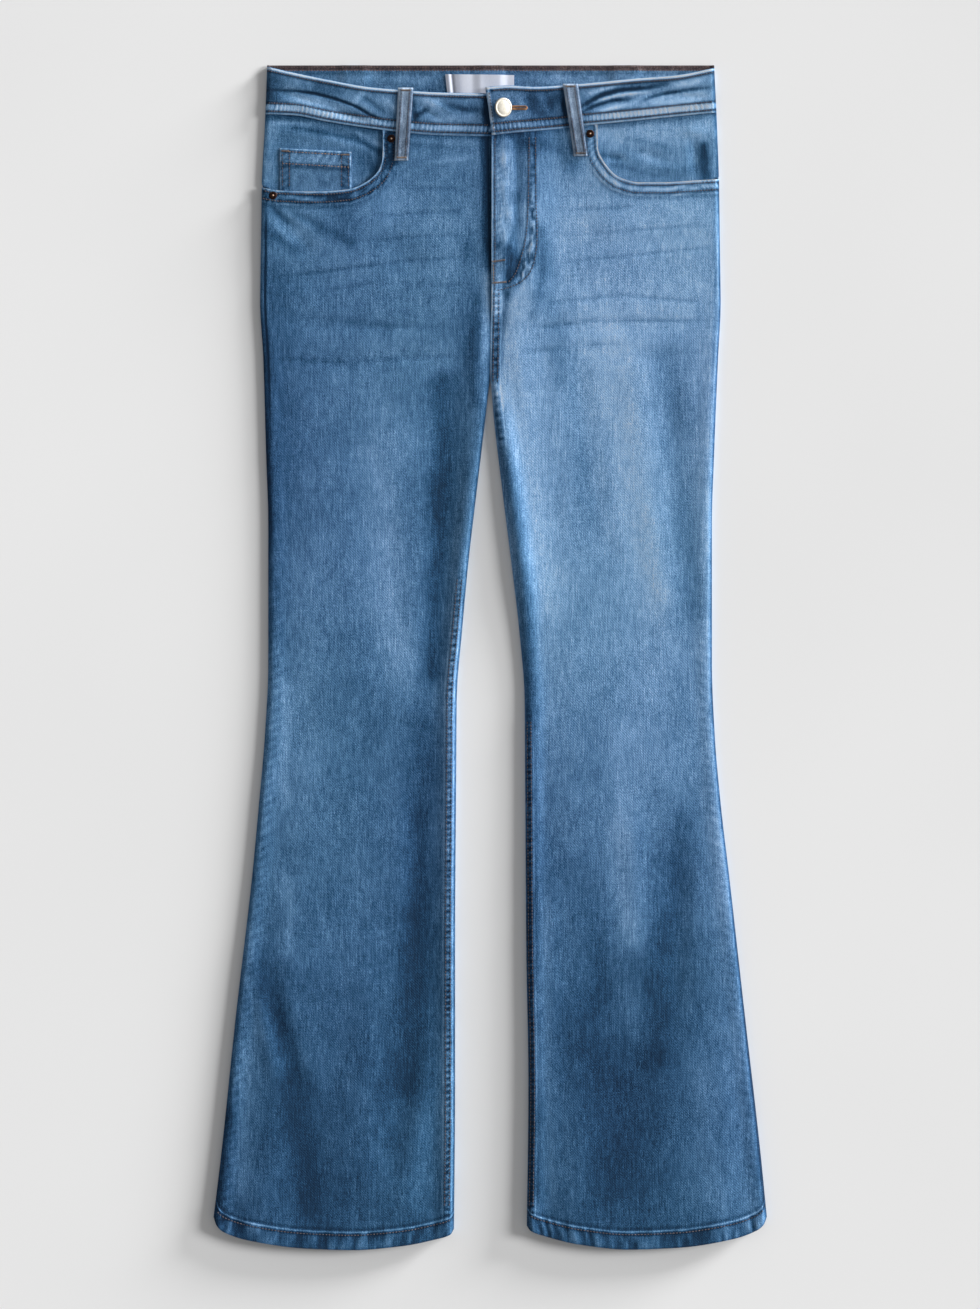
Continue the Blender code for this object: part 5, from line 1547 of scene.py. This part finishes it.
def buttonhole():
    """Purl of thread round the slit, with an eye under the button."""
    purl, on = Threads("buttonhole_purl", THREAD_HOLE), ["band_left"]
    x0, x1, middle = BUTTON["x"] + 3.0, BUTTONHOLE_END, BUTTON["down"]
    for beside in (-1.5, 0.3):
        purl.row([(x0, middle + beside), (x1, middle + beside)], on, pitch=1.3, length=1.5, radius=0.5)
    steps = 30
    for k in range(steps):
        x = mix(x0, x1, k / (steps - 1))
        half = 0.3 + 1.4 * hill(x, BUTTON["x"], 3.2)
        for way in (-1, 1):
            purl.stitch([(x, middle + way * reach) for reach in (half, half + 1.9)], on, 0.42, 0.9)
    for k in range(9):
        angle = -pi / 2 + pi * k / 8
        places = [(x1 + reach * cos(angle), middle + reach * sin(angle)) for reach in (0.6, 2.4)]
        purl.stitch(places, on, 0.42, 0.9)
    purl.finish()


def turned(name, x, down, profile, material, steps=64):
    """A solid of revolution; profile is (radius, up) from foot to top, both ends on the axis."""
    points, faces, rings = [], [], []
    for radius, up in profile:
        if radius == 0:
            rings.append([len(points)] * steps)
            points.append((x, down, up))
            continue
        rings.append(list(range(len(points), len(points) + steps)))
        for k in range(steps):
            angle = 2 * pi * k / steps
            points.append((x + radius * cos(angle), down - radius * sin(angle), up))
    for low, high in zip(rings, rings[1:]):
        for k in range(steps):
            n = (k + 1) % steps
            corners = (low[k], low[n], high[n], high[k])
            faces.append(tuple(dict.fromkeys(corners)))
    return add_mesh(name, place(points), faces, material, smooth_under=50)


def metal_piece(obj, node):
    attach(obj, "root")
    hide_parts(node)


def button():
    """Shank and cap; the cap leans over the buttonhole."""
    low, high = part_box("button")
    over, under = high.z / MM - 2.4, low.z / MM
    r = BUTTON["radius"]
    shank = (
        (0, under), (4.4, under), (4.5, under + 0.6), (1.7, under + 0.75), (1.7, over + 0.8), (0, over + 0.8),
    )
    cap = (
        (0, 0), (r - 0.8, 0), (r - 0.1, 0.35), (r, 0.8), (r - 0.25, 1.35), (r - 0.8, 1.65), (r - 1.5, 1.7),
        (r - 1.9, 1.55), (r - 2.4, 1.6), (5.0, 1.85), (3.0, 2.0), (1.2, 2.06), (0, 2.07),
    )
    foot = turned("button_shank", BUTTON["x"], BUTTON["down"], shank, NICKEL)
    head = turned("jeans_button", 0, LENGTH / 2, cap, NICKEL)
    lean = Matrix.Translation(place((BUTTON["x"] + 0.4, BUTTON["down"], over + BUTTON["lift"])).tolist())
    oval = Matrix.Diagonal((0.93, 1.03, 1.0, 1.0))
    head.data.transform(lean @ Matrix.Rotation(radians(BUTTON["lean"]), 4, "Y") @ oval)
    metal_piece(foot, "button")
    metal_piece(head, "button")


def rivets():
    r = RIVET_RADIUS
    rise = (
        (0, 0), (r, 0), (r + 0.1, 0.25), (r - 0.3, 0.55), (r - 1.0, 0.75), (1.9, 0.72), (1.5, 0.5),
        (1.1, 0.6), (0.85, 0.95), (0.4, 1.15), (0, 1.2),
    )
    for name, (side, out, down) in RIVETS.items():
        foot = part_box(name)[0].z / MM - 0.2
        profile = [(radius, foot + up) for radius, up in rise]
        obj = turned("cap_" + name, side * out, down, profile, RIVET_METAL_AND_SHADE, steps=40)
        obj.data.materials.append(NUB)
        for polygon in obj.data.polygons:
            polygon.material_index = int(polygon.center.z > (foot + 0.9) * MM)
        metal_piece(obj, name)


# ---- stage, light and camera ----

def stage():
    n = Nodes("floor_paper")
    _, colour = mottled(n, 2, FLOOR_RAMP)
    paper = n.surface({"Base Color": colour, "Roughness": 0.9, "Specular IOR Level": 0.1})
    half, below = 3.0, -0.0004
    corners = np.array([(x * half, y * half, below) for x, y in ((-1, -1), (1, -1), (1, 1), (-1, 1))])
    add_mesh("floor", corners, [(0, 1, 2, 3)], paper)


# Suns: azimuth and elevation, how wide the light is, and its share of the light on the floor
SUNS = {
    "azimuth": (10, 34), "elevation": (26, 7), "spread": (18, 17), "share": (0.37, 0.30),
}
SKY = 0.33


def lights():
    world = bpy.data.worlds.new("studio")
    world.use_nodes = True
    world.node_tree.nodes["Background"].inputs["Color"].default_value = (1, 1, 1, 1)
    world.node_tree.nodes["Background"].inputs["Strength"].default_value = SKY
    bpy.context.scene.world = world
    for k, (turn, rise, spread, share) in enumerate(zip(*SUNS.values())):
        azimuth, elevation = radians(turn), radians(rise)
        way = Vector((cos(azimuth) * cos(elevation), sin(azimuth) * cos(elevation), sin(elevation)))
        data = bpy.data.lights.new(f"sun_{k}", "SUN")
        data.angle, data.energy = radians(spread), pi * share / sin(elevation)
        sun = bpy.data.objects.new(f"sun_{k}", data)
        sun.rotation_euler = (-way).to_track_quat("-Z", "Y").to_euler()
        bpy.context.collection.objects.link(sun)


# The photo's frame: pixels, millimetres a pixel, and where the garment's middle and top lie in it
FRAME = {"wide": 980, "high": 1309, "mm": 0.9145, "middle": 490.1, "top": 65.0}


def camera():
    data = bpy.data.cameras.new("camera")
    data.sensor_width = 36.0
    distance = 4.5
    data.lens = data.sensor_width * distance / (FRAME["high"] * FRAME["mm"] * MM)
    obj = bpy.data.objects.new("camera", data)
    x = (FRAME["wide"] / 2 - FRAME["middle"]) * FRAME["mm"] * MM
    y = (LENGTH / 2 - (FRAME["high"] / 2 - FRAME["top"]) * FRAME["mm"]) * MM
    obj.location = (x, y, distance + 0.005)
    data.clip_end = 50
    bpy.context.collection.objects.link(obj)
    bpy.context.scene.camera = obj
    bpy.context.scene.view_settings.view_transform = "Standard"


def build():
    camera()
    stage()
    lights()
    for side in (RIGHT, LEFT):
        back_panel(side)
        back_yoke(side)
        back_pocket(side)
        front_panel(side)
        pocket_facing(side)
        waistband_front(side)
        front_belt_loop(side)
    waistband_back()
    for name, at in BACK_LOOPS.items():
        back_belt_loop(name, at)
    coin_pocket()
    label()
    fly_shield()
    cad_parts["zip"].data.materials.clear()
    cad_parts["zip"].data.materials.append(BRASS)
    button()
    rivets()
    sew_front()
    sew_back()
    buttonhole()


build()
